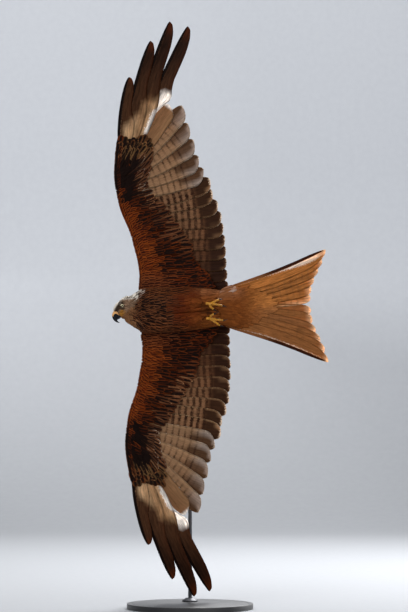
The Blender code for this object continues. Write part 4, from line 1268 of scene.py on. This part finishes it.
def body_look(aft, angle, tips):
    """Colours of the body feathers by their place."""
    count = len(aft)
    side = tips[:, 2] / 60
    clumps = patches(tips[:, ::2], 40, 6)
    below = ramp(-np.sin(angle), -0.35, 0.35)
    breast = 1 - ramp(aft + 10 * clumps, -30, 40)
    vent = mix("vent", "breast edge", 0.3 * ramp(side, 0.3, 1))
    ground = mix(mix("breast", "belly", 1 - breast), vent, ramp(aft + 16 * clumps - 14 * side, 24, 124))
    mark = mix("black brown", "rufous dark", ramp(aft, 0, 90))
    centre = (0.48 * breast + 0.14 * (1 - ramp(aft, 50, 90))) * draw.uniform(0.6, 1.35, count)
    rim = mix(mix("breast edge", "rufous", 1 - breast), vent, ramp(aft, 50, 110))
    fringe = 0.03 + 0.12 * breast * draw.uniform(0, 1, count)
    # the flanks carry on the wing's streaked rufous
    flank = ramp(np.abs(tips[:, 2]), 32, 58) * (1 - ramp(aft, 30, 100)) * ramp(aft, -110, -70)
    ground = mix(ground, mix("rufous bright", "breast", 0.7), 0.8 * flank)
    mark = mix(mark, "black brown", 0.7 * flank)
    centre = blend(centre, 0.54, flank)
    # painted shade: the hollow between the feet is painted black brown, standing for its shadow
    shadow_between_feet = np.exp(-(((aft - 108) / 16) ** 2) - ((tips[:, 2] + 8) / 11) ** 2) * below
    ground = mix(ground, "black brown", shadow_between_feet)
    rim = mix(rim, "black brown", shadow_between_feet)
    above = 1 - below
    back = mix("mantle", "rufous", ramp(aft, 110, 180))
    ground = mix(ground, back, above)
    rim = mix(rim, "mantle edge", above)
    centre = blend(centre, 0.36, above)
    mark = mix(mark, "dark brown", above)
    # the neck takes the head's colours, the nape farther back than the throat
    forward, up, out = head_sizes(tips)
    neck = head_look(forward, up, out)
    pale_side = np.clip((tips[:, 2] - curve(NECK_LEAN, aft)) / curve(TORSO, aft, 1), -1, 1)
    line = curve(((-1, -106), (-0.4, -114), (0.2, -117), (0.6, -104), (1, -92)), pale_side)
    t = 1 - ramp(aft + draw.uniform(-12, 12, count), line - 12, line + 12)
    shade = draw.uniform(0.84, 1.18, (count, 1))
    ground, mark, rim = mix(ground, neck[0], t), mix(mark, neck[1], t), mix(rim, neck[3], t)
    centre = centre * (1 - t) + neck[2] * t
    return ground * shade, mark, centre, rim * shade, fringe * (1 - t) + 0.1 * t, 0.3

# %% Body feathers
def torso_place(aft, angle):
    """Points of the torso's outside. The angle runs from the left side over the back."""
    wide, over, under = curves(TORSO, aft)
    tall = np.where(np.sin(angle) > 0, over, under) * np.sin(angle)
    return np.stack((aft, tall, curve(NECK_LEAN, aft) + wide * np.cos(angle)), -1)


def torso_tips():
    """Tips over the whole torso and neck in staggered rows: aft, angle round the body, and pitch."""
    rows = []
    aft = -156.0
    while aft < 196:
        wide, over, _ = curves(TORSO, aft)
        pitch = curve(((-156, 4.6), (-120, 6.6), (-60, 9.0), (40, 9.0), (190, 9.0)), aft)
        count = int(2 * math.pi * (wide + over) / 2 / pitch)
        angle = ring_angles(count, len(rows)) + draw.uniform(-0.3, 0.3, count) * pitch / wide
        place = aft + draw.uniform(-0.35, 0.35, count) * pitch
        rows.append(np.stack((place, angle, np.full(count, pitch)), -1))
        aft += curve(((-156, 4.2), (-120, 8.0), (-60, 17.0), (40, 17.0), (190, 12.0)), aft)
    return np.concatenate(rows)


def torso_feathers():
    """The feathers of the body and neck, without those that would stand inside the wings."""
    aft, angle, pitch = torso_tips().T
    tips = torso_place(aft, angle)
    keep = ~((np.abs(tips[:, 2]) > 40) & (tips[:, 1] > 14) & (tips[:, 1] < 46) & (aft > -90) & (aft < 90))
    aft, angle, pitch, tips = aft[keep], angle[keep], pitch[keep], tips[keep]
    lie = np.zeros_like(tips)
    lie[:, 0] = 1
    swirl = ramp(aft, -150, -110) * (1 - ramp(aft, -60, 10))
    wave = 0.22 * patches(tips[:, ::2], 30, 3) * (1 - ramp(aft, 20, 80))
    lie[:, 2] = swirl * 0.3 * np.cos(angle) + wave + draw.normal(0, 0.07, len(aft))
    lie[:, 1] = draw.normal(0, 0.06, len(aft))
    length = curve(((-156, 14), (-120, 22), (-60, 44), (60, 46), (190, 42)), aft)
    length = length * draw.uniform(0.9, 1.1, len(aft))
    look = body_look(aft, angle, tips)
    return lay_on_skin("body_feathers", tips, lie, length, pitch * 0.6, (0.4, 3.2), look)


body_coat = torso_feathers()

# %% [markdown]
# ## Head
#
# The head's feathers are the smallest of all, a few millimetres long round the bill and eye, and longer
# and pointed on the nape. A kite's head is greyish white with fine dark streaks, dark in front of the
# eye, and tan on the cheek. They point back from the bill.

# %% Head feathers
def head_tips():
    """Tips over the head in rings from the bill to the nape: forward, angle and pitch."""
    rows = []
    forward = 29.0
    while forward > -44:
        top, bottom, wide = curves(HEAD, forward)
        pitch = curve(((-44, 4.6), (-10, 3.6), (12, 2.8), (30, 2.2)), forward)
        count = int(math.pi * ((top - bottom) / 2 + wide) / pitch)
        angle = ring_angles(count, len(rows)) + draw.uniform(-0.25, 0.25, count) * pitch / 20
        place = forward + draw.uniform(-0.3, 0.3, count) * pitch
        rows.append(np.stack((place, angle, np.full(count, pitch)), -1))
        forward -= pitch * 0.8
    return np.concatenate(rows)


def head_feathers():
    """The feathers of the head, with a clear ring round each eye."""
    forward, angle, pitch = head_tips().T
    top, bottom, wide = curves(HEAD, forward)
    up = (top + bottom) / 2 + (top - bottom) / 2 * np.sin(angle)
    out = wide * np.cos(angle)
    length = curve(((-44, 17), (-15, 12), (8, 7.5), (30, 4.5)), forward)
    length = length * draw.uniform(0.9, 1.1, len(forward))
    near = (np.hypot(forward, up) < 6.6) | (np.hypot(forward + length * 0.9, up) < 6.0)
    keep = ~(near & (np.abs(out) > 10))
    forward, up, out, pitch, length = (value[keep] for value in (forward, up, out, pitch, length))
    tips = head_place(forward, up, out)
    behind = head_place(forward - 1, up + 0.12 * np.sign(up + 8), out)
    lie = behind - tips
    lie = lie + draw.normal(0, 0.08, lie.shape)
    return lay_on_skin("head_feathers", tips, lie, length, pitch * 0.66, (0.25, 1.5),
                       head_look(forward, up, out))


head_coat = head_feathers()

# %% [markdown]
# ## Thighs
#
# Loose feathers hang over the thighs like short trousers and leave only the yellow toes bare.

# %% Thigh feathers
THIGH_TOP, THIGH_END = np.array((34, 30, -30)), np.array((88, 22.5, -58))  # aft, side, ventral
THIGH_LENGTH, THIGH_HALF = 19.0, 4.4  # of one of its feathers
THIGH_RADII = ((0, 15), (0.2, 21), (0.4, 20), (0.6, 15), (0.8, 9.5), (1, 7))
FEET_SHIFT, FEET_SWAY, SWAY_FROM = -6, 0.17, 84


def leg_place(points, side):
    """Points of a leg given as aft, side and ventral, in the bird's frame."""
    points = np.asarray(points, float)
    aft, out, deep = points[..., 0], points[..., 1], points[..., 2]
    return np.stack((aft, deep, side * out + FEET_SHIFT - FEET_SWAY * np.maximum(aft - SWAY_FROM, 0)), -1)


def thigh_feathers(side):
    """The loose feathers of one thigh."""
    rows = []
    for row, t in enumerate(np.arange(0.12, 1.0, 0.075)):
        count = max(int(2 * math.pi * curve(THIGH_RADII, t) / 6.5), 7)
        angle = ring_angles(count, row) + draw.uniform(-0.1, 0.1, count)
        rows.append(np.stack((np.full(count, t), angle), -1))
    t, angle = np.concatenate(rows).T
    axis = THIGH_END - THIGH_TOP
    middle = THIGH_TOP + axis * t[:, None]
    axis = axis / np.linalg.norm(axis)
    first = np.cross(axis, (0, 1, 0))
    first /= np.linalg.norm(first)
    around = first * np.cos(angle)[:, None] + np.cross(axis, first) * np.sin(angle)[:, None]
    places = middle + around * curve(THIGH_RADII, t)[:, None]
    tips = leg_place(places, side)
    lie = leg_place(places + axis, side) - tips + draw.normal(0, 0.08, tips.shape)
    count = len(t)
    ground = mix("belly", "vent", 0.25 + 0.45 * ramp(t, 0.2, 0.9)) * draw.uniform(0.88, 1.14, (count, 1))
    look = (ground, ground * 0.5, 0.1, ground * 1.2, 0.08, 0.3)
    return lay_on_skin(f"thigh_feathers_{SIDES[side]}", tips, lie, np.full(count, THIGH_LENGTH),
                       np.full(count, THIGH_HALF), (0.3, 2.2), look, HACKLE_OUTLINE)


thighs = {side: thigh_feathers(side) for side in SIDES}

# %% [markdown]
# ### The skin's own colour
#
# Between two feathers the skin shows a shadow of the same plumage, never bare plaster, so it is given
# the markings of the feathers over it.

# %% Colour the skin
def skin_tones(points):
    """Colour of the skin at points in the bird's frame, a shade darker than the feathers over it."""
    aft, dorsal, span = points.T
    forward, up, out = head_sizes(points)
    angle = np.arctan2(dorsal, span)
    tone = body_look(aft, angle, points)[0] * 0.6
    wing = ramp(np.abs(span), 62, 80)
    below = dorsal < wing_level(aft, np.abs(span))
    rufous = mix("rufous dark", "black brown", ramp(np.abs(span), 346, 380))
    tone = mix(tone, np.where(below[:, None], rufous * 0.8, TONE["dark brown"]), wing)
    tone = mix(tone, TONE["vent"] * 0.7, ramp(aft, 150, 200) * (1 - wing))
    return mix(tone, head_look(forward, up, out)[0] * 0.7, ramp(forward, -44, -34))


tones = with_alpha(skin_tones(to_bird(skin_points)), 1)
layer = skin.data.attributes.new("ground", "FLOAT_COLOR", "POINT")
layer.data.foreach_set("color", tones.astype(np.float32).ravel())
fluff, add = new_material("down-covered skin")
ground = add("Attribute", attribute_name="ground")
place = add("TexCoord").outputs["Object"]
tufts = add("TexNoise", {"Vector": place, "Scale": 420.0, "Detail": 3.0})  # 2.4 mm apart
raised = add("Bump", {"Strength": 0.5, "Distance": 0.001, "Height": tufts})
body_shader = add("BsdfPrincipled", {"Base Color": ground, "Roughness": 0.9,
                                     "Specular IOR Level": 0.05, "Normal": raised})
add("OutputMaterial", {0: body_shader})
skin.data.materials.clear()
skin.data.materials.append(fluff)
print("skin coloured")

# %% [markdown]
# ## Bare parts
#
# What has no feathers is horn or scaled skin: the hooked bill, the yellow cere round the nostrils, the
# toes and the claws. Each starts as a straight stem, cut into rings, and is then sized and laid along the
# middle line that its solid has.

# %% A straight stem and a way to bend it
def stem(name, sides, rings):
    """A straight closed cylinder along Z, cut into rings by subdividing its long edges."""
    deselect()
    bpy.ops.mesh.primitive_cylinder_add(vertices=sides, radius=1, depth=1, location=(0, 0, 0.5))
    obj = bpy.context.object
    obj.name = name
    obj.data.name = name
    bpy.ops.object.transform_apply()
    with editing(obj):
        choose(obj, "EDGE", lambda edge: abs(edge.verts[0].co.z - edge.verts[1].co.z) > 0.5)
        bpy.ops.mesh.subdivide(number_cuts=rings - 2)
        choose(obj, "FACE", lambda face: abs(face.normal.z) > 0.5)
        bpy.ops.mesh.inset(thickness=0.5)
    return obj


def bend(obj, path, tall, wide, out=(0.2, 0.3, 1), shape=None):
    """Lays a stem along a path in the bird's frame. tall and wide are its half sizes at each t."""
    points = read(obj.data.vertices, "co", 3)
    t = np.clip(points[:, 2], 0, 1)
    keys = np.linspace(0, 1, len(path))
    columns = np.column_stack((keys, path))
    centre, before, after = (np.stack(curves(columns, at), -1) for at in (t, t - 0.01, t + 0.01))
    along = after - before
    along /= np.linalg.norm(along, axis=1)[:, None]
    side = np.cross(along, np.cross(np.array(out, float), along))
    side /= np.linalg.norm(side, axis=1)[:, None]
    up = np.cross(side, along)
    x, y = points[:, 0], points[:, 1]
    if shape is not None:
        x, y = shape(x, y, t)
    x, y = x * np.interp(t, keys, wide), y * np.interp(t, keys, tall)
    place = centre + side * x[:, None] + up * y[:, None]
    obj.data.vertices.foreach_set("co", to_room(place).ravel())
    obj.data.update()
    face_outwards(obj)
    obj.data.shade_smooth()
    return obj


def finish_piece(obj, material):
    """Gives a piece its material and leaves it as smooth triangles."""
    obj.data.materials.clear()
    obj.data.materials.append(material)
    apply_modifier(obj, "TRIANGULATE")
    obj.data.shade_smooth()
    print(obj.name, len(obj.data.polygons), "triangles")
    return obj


# %% Horn, cere and scaled skin
def horn_material(name, dark, light, scale, roughness):
    """Keratin horn: hard, smooth and glossy, with fine streaks of growth."""
    material, add = new_material(name)
    place = add("TexCoord").outputs["Object"]
    growth = add("TexNoise", {"Vector": place, "Scale": scale, "Detail": 4.0})
    share = add("MapRange", {"Value": growth, "From Min": 0.35, "From Max": 0.75})
    tone = add("Mix", {0: share, 6: linear(dark), 7: linear(light)}, data_type="RGBA")
    rise = add("Bump", {"Strength": 0.15, "Distance": 0.0004, "Height": growth})
    shader = add("BsdfPrincipled", {"Base Color": tone, "Roughness": roughness, "IOR": 1.54,
                                    "Specular IOR Level": 0.18, "Normal": rise})
    add("OutputMaterial", {0: shader})
    return material


def scaled_material(name, light, dark, scale):
    """Scaled skin: waxy plates with darker creases between them."""
    material, add = new_material(name)
    place = add("TexCoord").outputs["Object"]
    plates = add("TexVoronoi", {"Vector": place, "Scale": scale}, feature="DISTANCE_TO_EDGE")
    crease = add("MapRange", {"Value": plates, "From Max": 0.07})
    blotch = add("TexNoise", {"Vector": place, "Scale": 140.0, "Detail": 2.0})
    waxy = add("MapRange", {"Value": blotch, "From Min": 0.3, "From Max": 0.7, "To Min": 0.55})
    share = add("Math", {0: crease, 1: waxy}, operation="MULTIPLY")
    tone = add("Mix", {0: share, 6: linear(dark), 7: linear(light)}, data_type="RGBA")
    rise = add("Bump", {"Strength": 0.6, "Distance": 0.0004, "Height": crease})
    shader = add("BsdfPrincipled", {"Base Color": tone, "Roughness": 0.45, "IOR": 1.45,
                                    "Subsurface Weight": 0.08, "Subsurface Scale": 0.002, "Normal": rise})
    add("OutputMaterial", {0: shader})
    return material


bill_horn = horn_material("bill horn", "#0C0C10", "#24242B", 240.0, 0.3)
claw_horn = horn_material("claw horn", "#0E0C0D", "#1E1A19", 300.0, 0.5)
cere_wax = scaled_material("waxy cere skin", "#E6B272", "#C48440", 420.0)
toe_scales = scaled_material("yellow toe scales", "#CC8A16", "#5A380C", 480.0)

# %% Bill and cere
BILL = (  # forward, up, half height, half width along the curve
    (18, -4.8, 11.7, 10.5), (28, -5.2, 10.7, 8.6), (36.5, -7.8, 9.2, 6.6), (42, -13.8, 6.6, 4.8),
    (44, -21, 3.8, 2.9), (42.8, -27.2, 2.0, 1.6), (40.6, -32, 0.7, 0.6),
)
CHIN = (
    (15, -18.4, 5.4, 9.4), (24, -18.4, 5.4, 7.8), (32, -18.4, 5.2, 5.8), (37, -19.2, 3.6, 3.6),
    (40, -20.6, 1.2, 1.4),
)


def bill_part(name, rows, start, end, material, count=26, swell=1.0, slant=0.0):
    """A length of the bill: its rows read from start to end, as shares of the table. slant trims the far
    end's lower half."""
    indexed = np.column_stack((np.arange(len(rows)), rows))
    at = np.linspace(start, end, count) * (len(rows) - 1)
    forward, up, tall, wide = curves(indexed, at)
    path = head_place(forward, up, 0.0)

    def ridge(x, y, t):
        """Flatter sides, a narrower ridge above and a sharp cutting edge below."""
        above = np.maximum(-y, 0)
        trim = slant * ramp(t, 0.35, 1) * ramp(y, -0.7, 0.8)
        return x * (1 - 0.22 * above**2) * 0.97 * (1 - trim), y * (1 - trim)

    obj = bend(stem(name, 28, count), path, tall * swell, wide * swell, out=(0, -1, 0), shape=ridge)
    return finish_piece(obj, material)


upper_bill = bill_part("upper_bill", BILL, 0.17, 1.0, bill_horn, 38)
cere = bill_part("cere_skin", BILL, 0.03, 0.385, cere_wax, 26, 1.03, 0.6)
lower_bill = bill_part("lower_bill", CHIN, 0.0, 1.0, bill_horn, 18, 0.97)

# %% [markdown]
# ## Eyes
#
# A kite's eye is pale straw with a round black pupil and a dark rim, under a brow that gives the stern
# look. The ball is a glossy cornea over the iris, and rings of bare dark skin form the lids.

# %% Eyes and lids
EYE_RADIUS, EYE_OUT = 6.6, 15.6
LID_RADIUS, LID_THICK, LID_OUT = 6.0, 1.15, 4.2
PUPIL, IRIS = (0.0028, 0.0026), (0.0050, 0.0056)  # radii in metres between which their edges fade


def eye_material(name, centre):
    """Cornea over a straw iris: clear, wet and glossy, with rays round the pupil."""
    material, add = new_material(name)
    place = add("TexCoord").outputs["Object"]
    moved = add("VectorMath", {0: place, 1: centre}, operation="SUBTRACT")
    flat = add("VectorMath", {0: moved, 1: (1, 0, 1)}, operation="MULTIPLY")
    radius = add("VectorMath", {0: flat}, operation="LENGTH").outputs["Value"]
    rays = add("TexNoise", {"Vector": moved, "Scale": 700.0, "Detail": 3.0})
    iris = add("Mix", {0: rays, 6: linear("#D2BC86"), 7: linear("#FBF3D4")}, data_type="RGBA")
    outside = add("MapRange", {"Value": radius, "From Min": IRIS[0], "From Max": IRIS[1]})
    ring = add("Mix", {0: outside, 6: iris, 7: linear("#1C130C")}, data_type="RGBA")
    inside = add("MapRange", {"Value": radius, "From Min": PUPIL[0], "From Max": PUPIL[1]})
    pupil = add("Mix", {0: inside, 6: ring, 7: (0.002, 0.002, 0.002, 1)}, data_type="RGBA")
    shader = add("BsdfPrincipled", {"Base Color": pupil, "Roughness": 0.15, "IOR": 1.38,
                                    "Specular IOR Level": 0.18, "Coat Weight": 0.04, "Coat Roughness": 0.05})
    add("OutputMaterial", {0: shader})
    return material


lid_skin = scaled_material("dark lid skin", "#4A3A2A", "#241A12", 900.0)
eyes, lids = [], []
for side, label in SIDES.items():
    centre = to_room(head_place(0, 0, side * EYE_OUT))
    deselect()
    bpy.ops.mesh.primitive_uv_sphere_add(segments=36, ring_count=24, radius=EYE_RADIUS * MM, location=centre,
                                         rotation=(math.pi / 2, 0, 0))
    eye = bpy.context.object
    eye.name = f"eyeball_{label}"
    bpy.ops.object.transform_apply()
    eyes.append(finish_piece(eye, eye_material(f"{label} eye", tuple(centre))))
    centre = to_room(head_place(0, 0, side * (EYE_OUT + LID_OUT)))
    deselect()
    bpy.ops.mesh.primitive_torus_add(major_segments=40, minor_segments=10, location=centre,
                                     rotation=(math.pi / 2, 0, 0), major_radius=LID_RADIUS * MM,
                                     minor_radius=LID_THICK * MM)
    lid = bpy.context.object
    lid.name = f"lid_{label}"
    with editing(lid):
        bpy.ops.transform.resize(value=(1, 1, 0.9), center_override=tuple(centre))
    bpy.ops.object.transform_apply()
    lids.append(finish_piece(lid, lid_skin))

# %% [markdown]
# ## Feet
#
# The feet are drawn up under the tail in flight. Each has three toes forward and one back, with pads
# under the joints and a black claw on every toe.

# %% Toes and claws
SHANK = ((94, 22.5, -59), (100, 22.5, -62), (106, 22.5, -64))
TOES = (
    ((104, 22.5, -64), (117, 29, -71), (126, 35, -71), (132, 38, -67)),
    ((104, 22.5, -64), (119, 23, -73), (132, 22.5, -73), (141, 22, -67)),
    ((104, 22.5, -64), (107, 13.5, -71), (115, 7.5, -69)),
    ((103, 22.5, -63), (110, 21, -54), (119, 20, -51.5)),
)
CLAW_LENGTHS = (14, 15, 14, 12)
CLAW_CURLS = ((0.7, 0.6, -0.6), (0.6, 0.6, -0.7), (1, 0.2, 0.3), (1, -0.1, 0))
SHANK_SIZES = (4.6, 4.2, 4.4)
TOE_VOXEL = 0.75 * MM


def toe_stem(toe, side):
    """One toe with a pad under each joint."""
    path = leg_place(toe, side)
    keys = np.linspace(0, 1, 13)
    knots = 3.0 + 0.55 * np.cos(keys * 2 * math.pi * (len(toe) - 1)) + 0.9 * (1 - keys)
    fine = np.stack(curves(np.column_stack((np.linspace(0, 1, len(path)), path)), keys), -1)
    return bend(stem("toe", 14, 20), fine, knots, knots)


def claw_piece(i, side):
    """The curved claw of toe i."""
    path = leg_place(TOES[i], side)
    ahead = path[-1] - path[-2]
    ahead = ahead / np.linalg.norm(ahead)
    curl = np.array(CLAW_CURLS[i]) * (1, 1, side) / np.linalg.norm(CLAW_CURLS[i])
    u = np.linspace(0, 1, 9)[:, None]
    hook = path[-1] + ahead * 0.3 + (ahead * u + curl * 0.36 * u * u) * CLAW_LENGTHS[i]
    size = 2.7 * (1 - 0.92 * u[:, 0] ** 1.3)
    claw = bend(stem(f"talon_{SIDES[side]}_{i + 1}", 14, 18), hook, size * 1.08, size * 0.92)
    return finish_piece(claw, claw_horn)


feet, claws = [], []
for side, label in SIDES.items():
    stems = [bend(stem("shank", 16, 8), leg_place(SHANK, side), SHANK_SIZES, SHANK_SIZES)]
    for i, toe in enumerate(TOES):
        stems.append(toe_stem(toe, side))
        claws.append(claw_piece(i, side))
    foot = join(stems, f"toes_{label}")
    apply_modifier(foot, "REMESH", mode="VOXEL", voxel_size=TOE_VOXEL)
    apply_modifier(foot, "SMOOTH", factor=0.5, iterations=3)
    feet.append(finish_piece(foot, toe_scales))

# %% [markdown]
# ## Stand
#
# The museum's stand is plain: a round painted board, and a steel rod that rises behind the lower wing
# and bends into the back. The board is a cylinder with a rounded rim and a groove, and the collar and
# rod keep the solids' sizes.

# %% Board, rod and collar
def paint_material(name, tone, roughness, metallic):
    """Satin paint on board or blackened steel: even, with the faint mottle of a sprayed coat."""
    material, add = new_material(name)
    place = add("TexCoord").outputs["Object"]
    mottle = add("TexNoise", {"Vector": place, "Scale": 55.0, "Detail": 6.0})
    shift = add("Mix", {0: mottle, 6: linear(tone), 7: linear(tone, 1.6)}, data_type="RGBA")
    orange_peel = add("TexNoise", {"Vector": place, "Scale": 900.0, "Detail": 2.0})
    rise = add("Bump", {"Strength": 0.08, "Distance": 0.0003, "Height": orange_peel})
    shader = add("BsdfPrincipled", {"Base Color": shift, "Roughness": roughness,
                                    "Metallic": metallic, "Normal": rise})
    add("OutputMaterial", {0: shader})
    return material


satin = paint_material("satin black paint on board", "#1B1B1D", 0.42, 0.0)
steel = paint_material("blackened steel", "#3A3A3D", 0.38, 0.9)
BASE_RADIUS, BASE_THICK = 190 * MM, 16 * MM
GROOVE_IN, GROOVE_WALL, GROOVE_DEEP, BEVEL = 12 * MM, 1.5 * MM, 0.8 * MM, 2.2 * MM
deselect()
bpy.ops.mesh.primitive_cylinder_add(vertices=96, radius=BASE_RADIUS, depth=BASE_THICK,
                                    location=(0, 0, BASE_THICK / 2), end_fill_type="NGON")
board = bpy.context.object
board.name = "board"
with editing(board):
    choose(board, "FACE", lambda face: face.normal.z > 0.5)
    bpy.ops.mesh.inset(thickness=GROOVE_IN)
    for step in (-GROOVE_DEEP, GROOVE_DEEP):
        bpy.ops.mesh.inset(thickness=GROOVE_WALL)
        bpy.ops.mesh.extrude_region_move(TRANSFORM_OT_translate={"value": (0, 0, step)})
bpy.ops.object.transform_apply()
apply_modifier(board, "BEVEL", width=BEVEL, segments=4, limit_method="ANGLE", angle_limit=math.radians(50))
finish_piece(board, satin)
bpy.ops.object.shade_smooth_by_angle(angle=math.radians(35))
for label in ("stand_rod", "stand_collar"):
    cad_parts[label].data.materials.clear()
    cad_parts[label].data.materials.append(steel)

# %% [markdown]
# ## Who stands for whom
#
# Each piece rides on the one body that the model has, and names the solids it takes the place of.

# %% Ride and replace
STANDS = [
    (skin, ("torso", "neck", "head", "leg_left", "leg_right"), "body_feathers"),
    (body_coat, ("torso", "neck"), "body_feathers"),
    (head_coat, ("head",), "head_feathers"),
    (rectrices, ("tail",), "tail_feathers"),
    (tail_cover[0], ("tail",), "tail_feathers"),
    (tail_cover[1], ("tail",), "tail_feathers"),
    (upper_bill, ("beak_upper",), "horn"),
    (cere, ("cere",), "yellow_skin"),
    (lower_bill, ("beak_lower",), "horn"),
    (board, ("stand_base",), "stand_board"),
]
for i, (side, label) in enumerate(SIDES.items()):
    for piece in (remiges[side], wing_coverts[side, True], wing_coverts[side, False], armpits[side]):
        STANDS.append((piece, (f"wing_{label}",), "wing_feathers"))
    STANDS.append((thighs[side], (f"leg_{label}",), "body_feathers"))
    STANDS.append((eyes[i], (f"eye_{label}",), "eye"))
    STANDS.append((lids[i], ("head",), "head_feathers"))
    STANDS.append((feet[i], (f"foot_{label}",), "yellow_skin"))
    for k, claw in enumerate(claws[4 * i : 4 * i + 4]):
        STANDS.append((claw, (f"claw_{label}_{k + 1}",), "horn"))
for piece, names, finish in STANDS:
    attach(piece, "root")
    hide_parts(*names)
print(len(STANDS), "pieces ride")

# %% [markdown]
# ## Studio
#
# The bird is lit as in a plain studio: a pale floor that sweeps up into a pale wall, a broad soft light
# in front, and a stronger soft one behind and above, which makes the thin vanes glow at their edges, as
# the sun does in the sky. The camera looks at the belly along the level, from so far that nothing bends.

# %% Floor and wall
FLOOR_WIDE, FLOOR_LONG, FLOOR_SHIFT = 16, 22, -7  # metres
SWEEP_RADIUS, SWEEP_STEPS, WALL_HEIGHT = 1.5, 12, 6
FAR_EDGE = FLOOR_SHIFT + FLOOR_LONG / 2
deselect()
bpy.ops.mesh.primitive_plane_add(size=1, location=(0, 0, 0))
sweep = bpy.context.object
sweep.name = "floor"
with editing(sweep):
    bpy.ops.transform.resize(value=(FLOOR_WIDE, FLOOR_LONG, 1))
    bpy.ops.transform.translate(value=(0, FLOOR_SHIFT, 0))
    choose(sweep, "EDGE", lambda edge: all(vert.co.y > FAR_EDGE - 0.1 for vert in edge.verts))
    reach = SWEEP_RADIUS * math.pi / 2 / SWEEP_STEPS
    for k in range(SWEEP_STEPS):
        angle = (k + 0.5) / SWEEP_STEPS * math.pi / 2
        step = (0, reach * math.cos(angle), reach * math.sin(angle))
        bpy.ops.mesh.extrude_region_move(TRANSFORM_OT_translate={"value": step})
    bpy.ops.mesh.extrude_region_move(TRANSFORM_OT_translate={"value": (0, 0, WALL_HEIGHT)})
sweep.data.shade_smooth()
paper, add = new_material("pale studio paper")
place = add("TexCoord").outputs["Object"]
grain = add("TexNoise", {"Vector": place, "Scale": 40.0, "Detail": 4.0})
tone = add("Mix", {0: grain, 6: linear("#C9CCD2"), 7: linear("#D2D5DA")}, data_type="RGBA")
height = add("SeparateXYZ", {0: place}).outputs["Z"]
# painted shade: the paper is painted darker low down, to 0.44 of its tone on the floor
rise = add("MapRange", {"Value": height, "From Max": 1.0, "To Min": 0.44})
tone = add("VectorMath", {0: tone, "Scale": rise}, operation="SCALE")
matte = add("BsdfPrincipled", {"Base Color": tone, "Roughness": 0.95})
# from behind the paper isn't there, so that the bird's back can be looked at too
behind = add("NewGeometry").outputs["Backfacing"]
both = add("MixShader", {0: behind, 1: matte, 2: add("BsdfTransparent")})
add("OutputMaterial", {0: both})
sweep.data.materials.append(paper)
print("floor:", len(sweep.data.polygons), "faces")

# %% Lights and camera
world = bpy.data.worlds.new("studio")
bpy.context.scene.world = world
world.use_nodes = True
background = world.node_tree.nodes["Background"]
background.inputs["Color"].default_value = (0.95, 0.97, 1.0, 1)
background.inputs["Strength"].default_value = 0.35
LIGHTS = (  # name, place, size, power, aim
    ("front", (-2.6, -5.0, 3.6), 3.0, 190, (0, 0, 0.95)),
    ("fill", (3.4, -5.2, 1.4), 3.5, 80, (0, 0, 0.8)),
    ("back", (1.0, 2.6, 3.4), 2.2, 260, (0, 0, 0.95)),
    ("rim", (2.8, 1.9, 1.3), 1.4, 150, (0, 0, 0.95)),
    ("wall", (0, 1.6, 5.2), 3.0, 130, (0, 4.5, 1.0)),
)
for name, place, size, power, aim in LIGHTS:
    bpy.ops.object.light_add(type="AREA", location=place)
    lamp = bpy.context.object
    lamp.name = name
    lamp.data.size = size
    lamp.data.energy = power
    lamp.rotation_euler = (Vector(aim) - Vector(place)).to_track_quat("-Z", "Y").to_euler()
# the photo's 612 pixels at 3 mm each, and the place that they show in the middle
VIEW_HEIGHT, VIEW_MIDDLE = 1.836, (0.042, -0.032, 0.9105)
CAMERA_BACK, SENSOR = 12.0, 36.0
middle = Vector(VIEW_MIDDLE)
bpy.ops.object.camera_add(location=middle - Vector((0, CAMERA_BACK, 0)), rotation=(math.pi / 2, 0, 0))
camera = bpy.context.object
camera.data.sensor_fit = "AUTO"
camera.data.sensor_width = SENSOR
camera.data.lens = SENSOR * CAMERA_BACK / VIEW_HEIGHT
camera.data.clip_end = 100
bpy.context.scene.camera = camera
bpy.context.scene.view_settings.view_transform = "Standard"
print("camera lens:", round(camera.data.lens, 1), "mm")
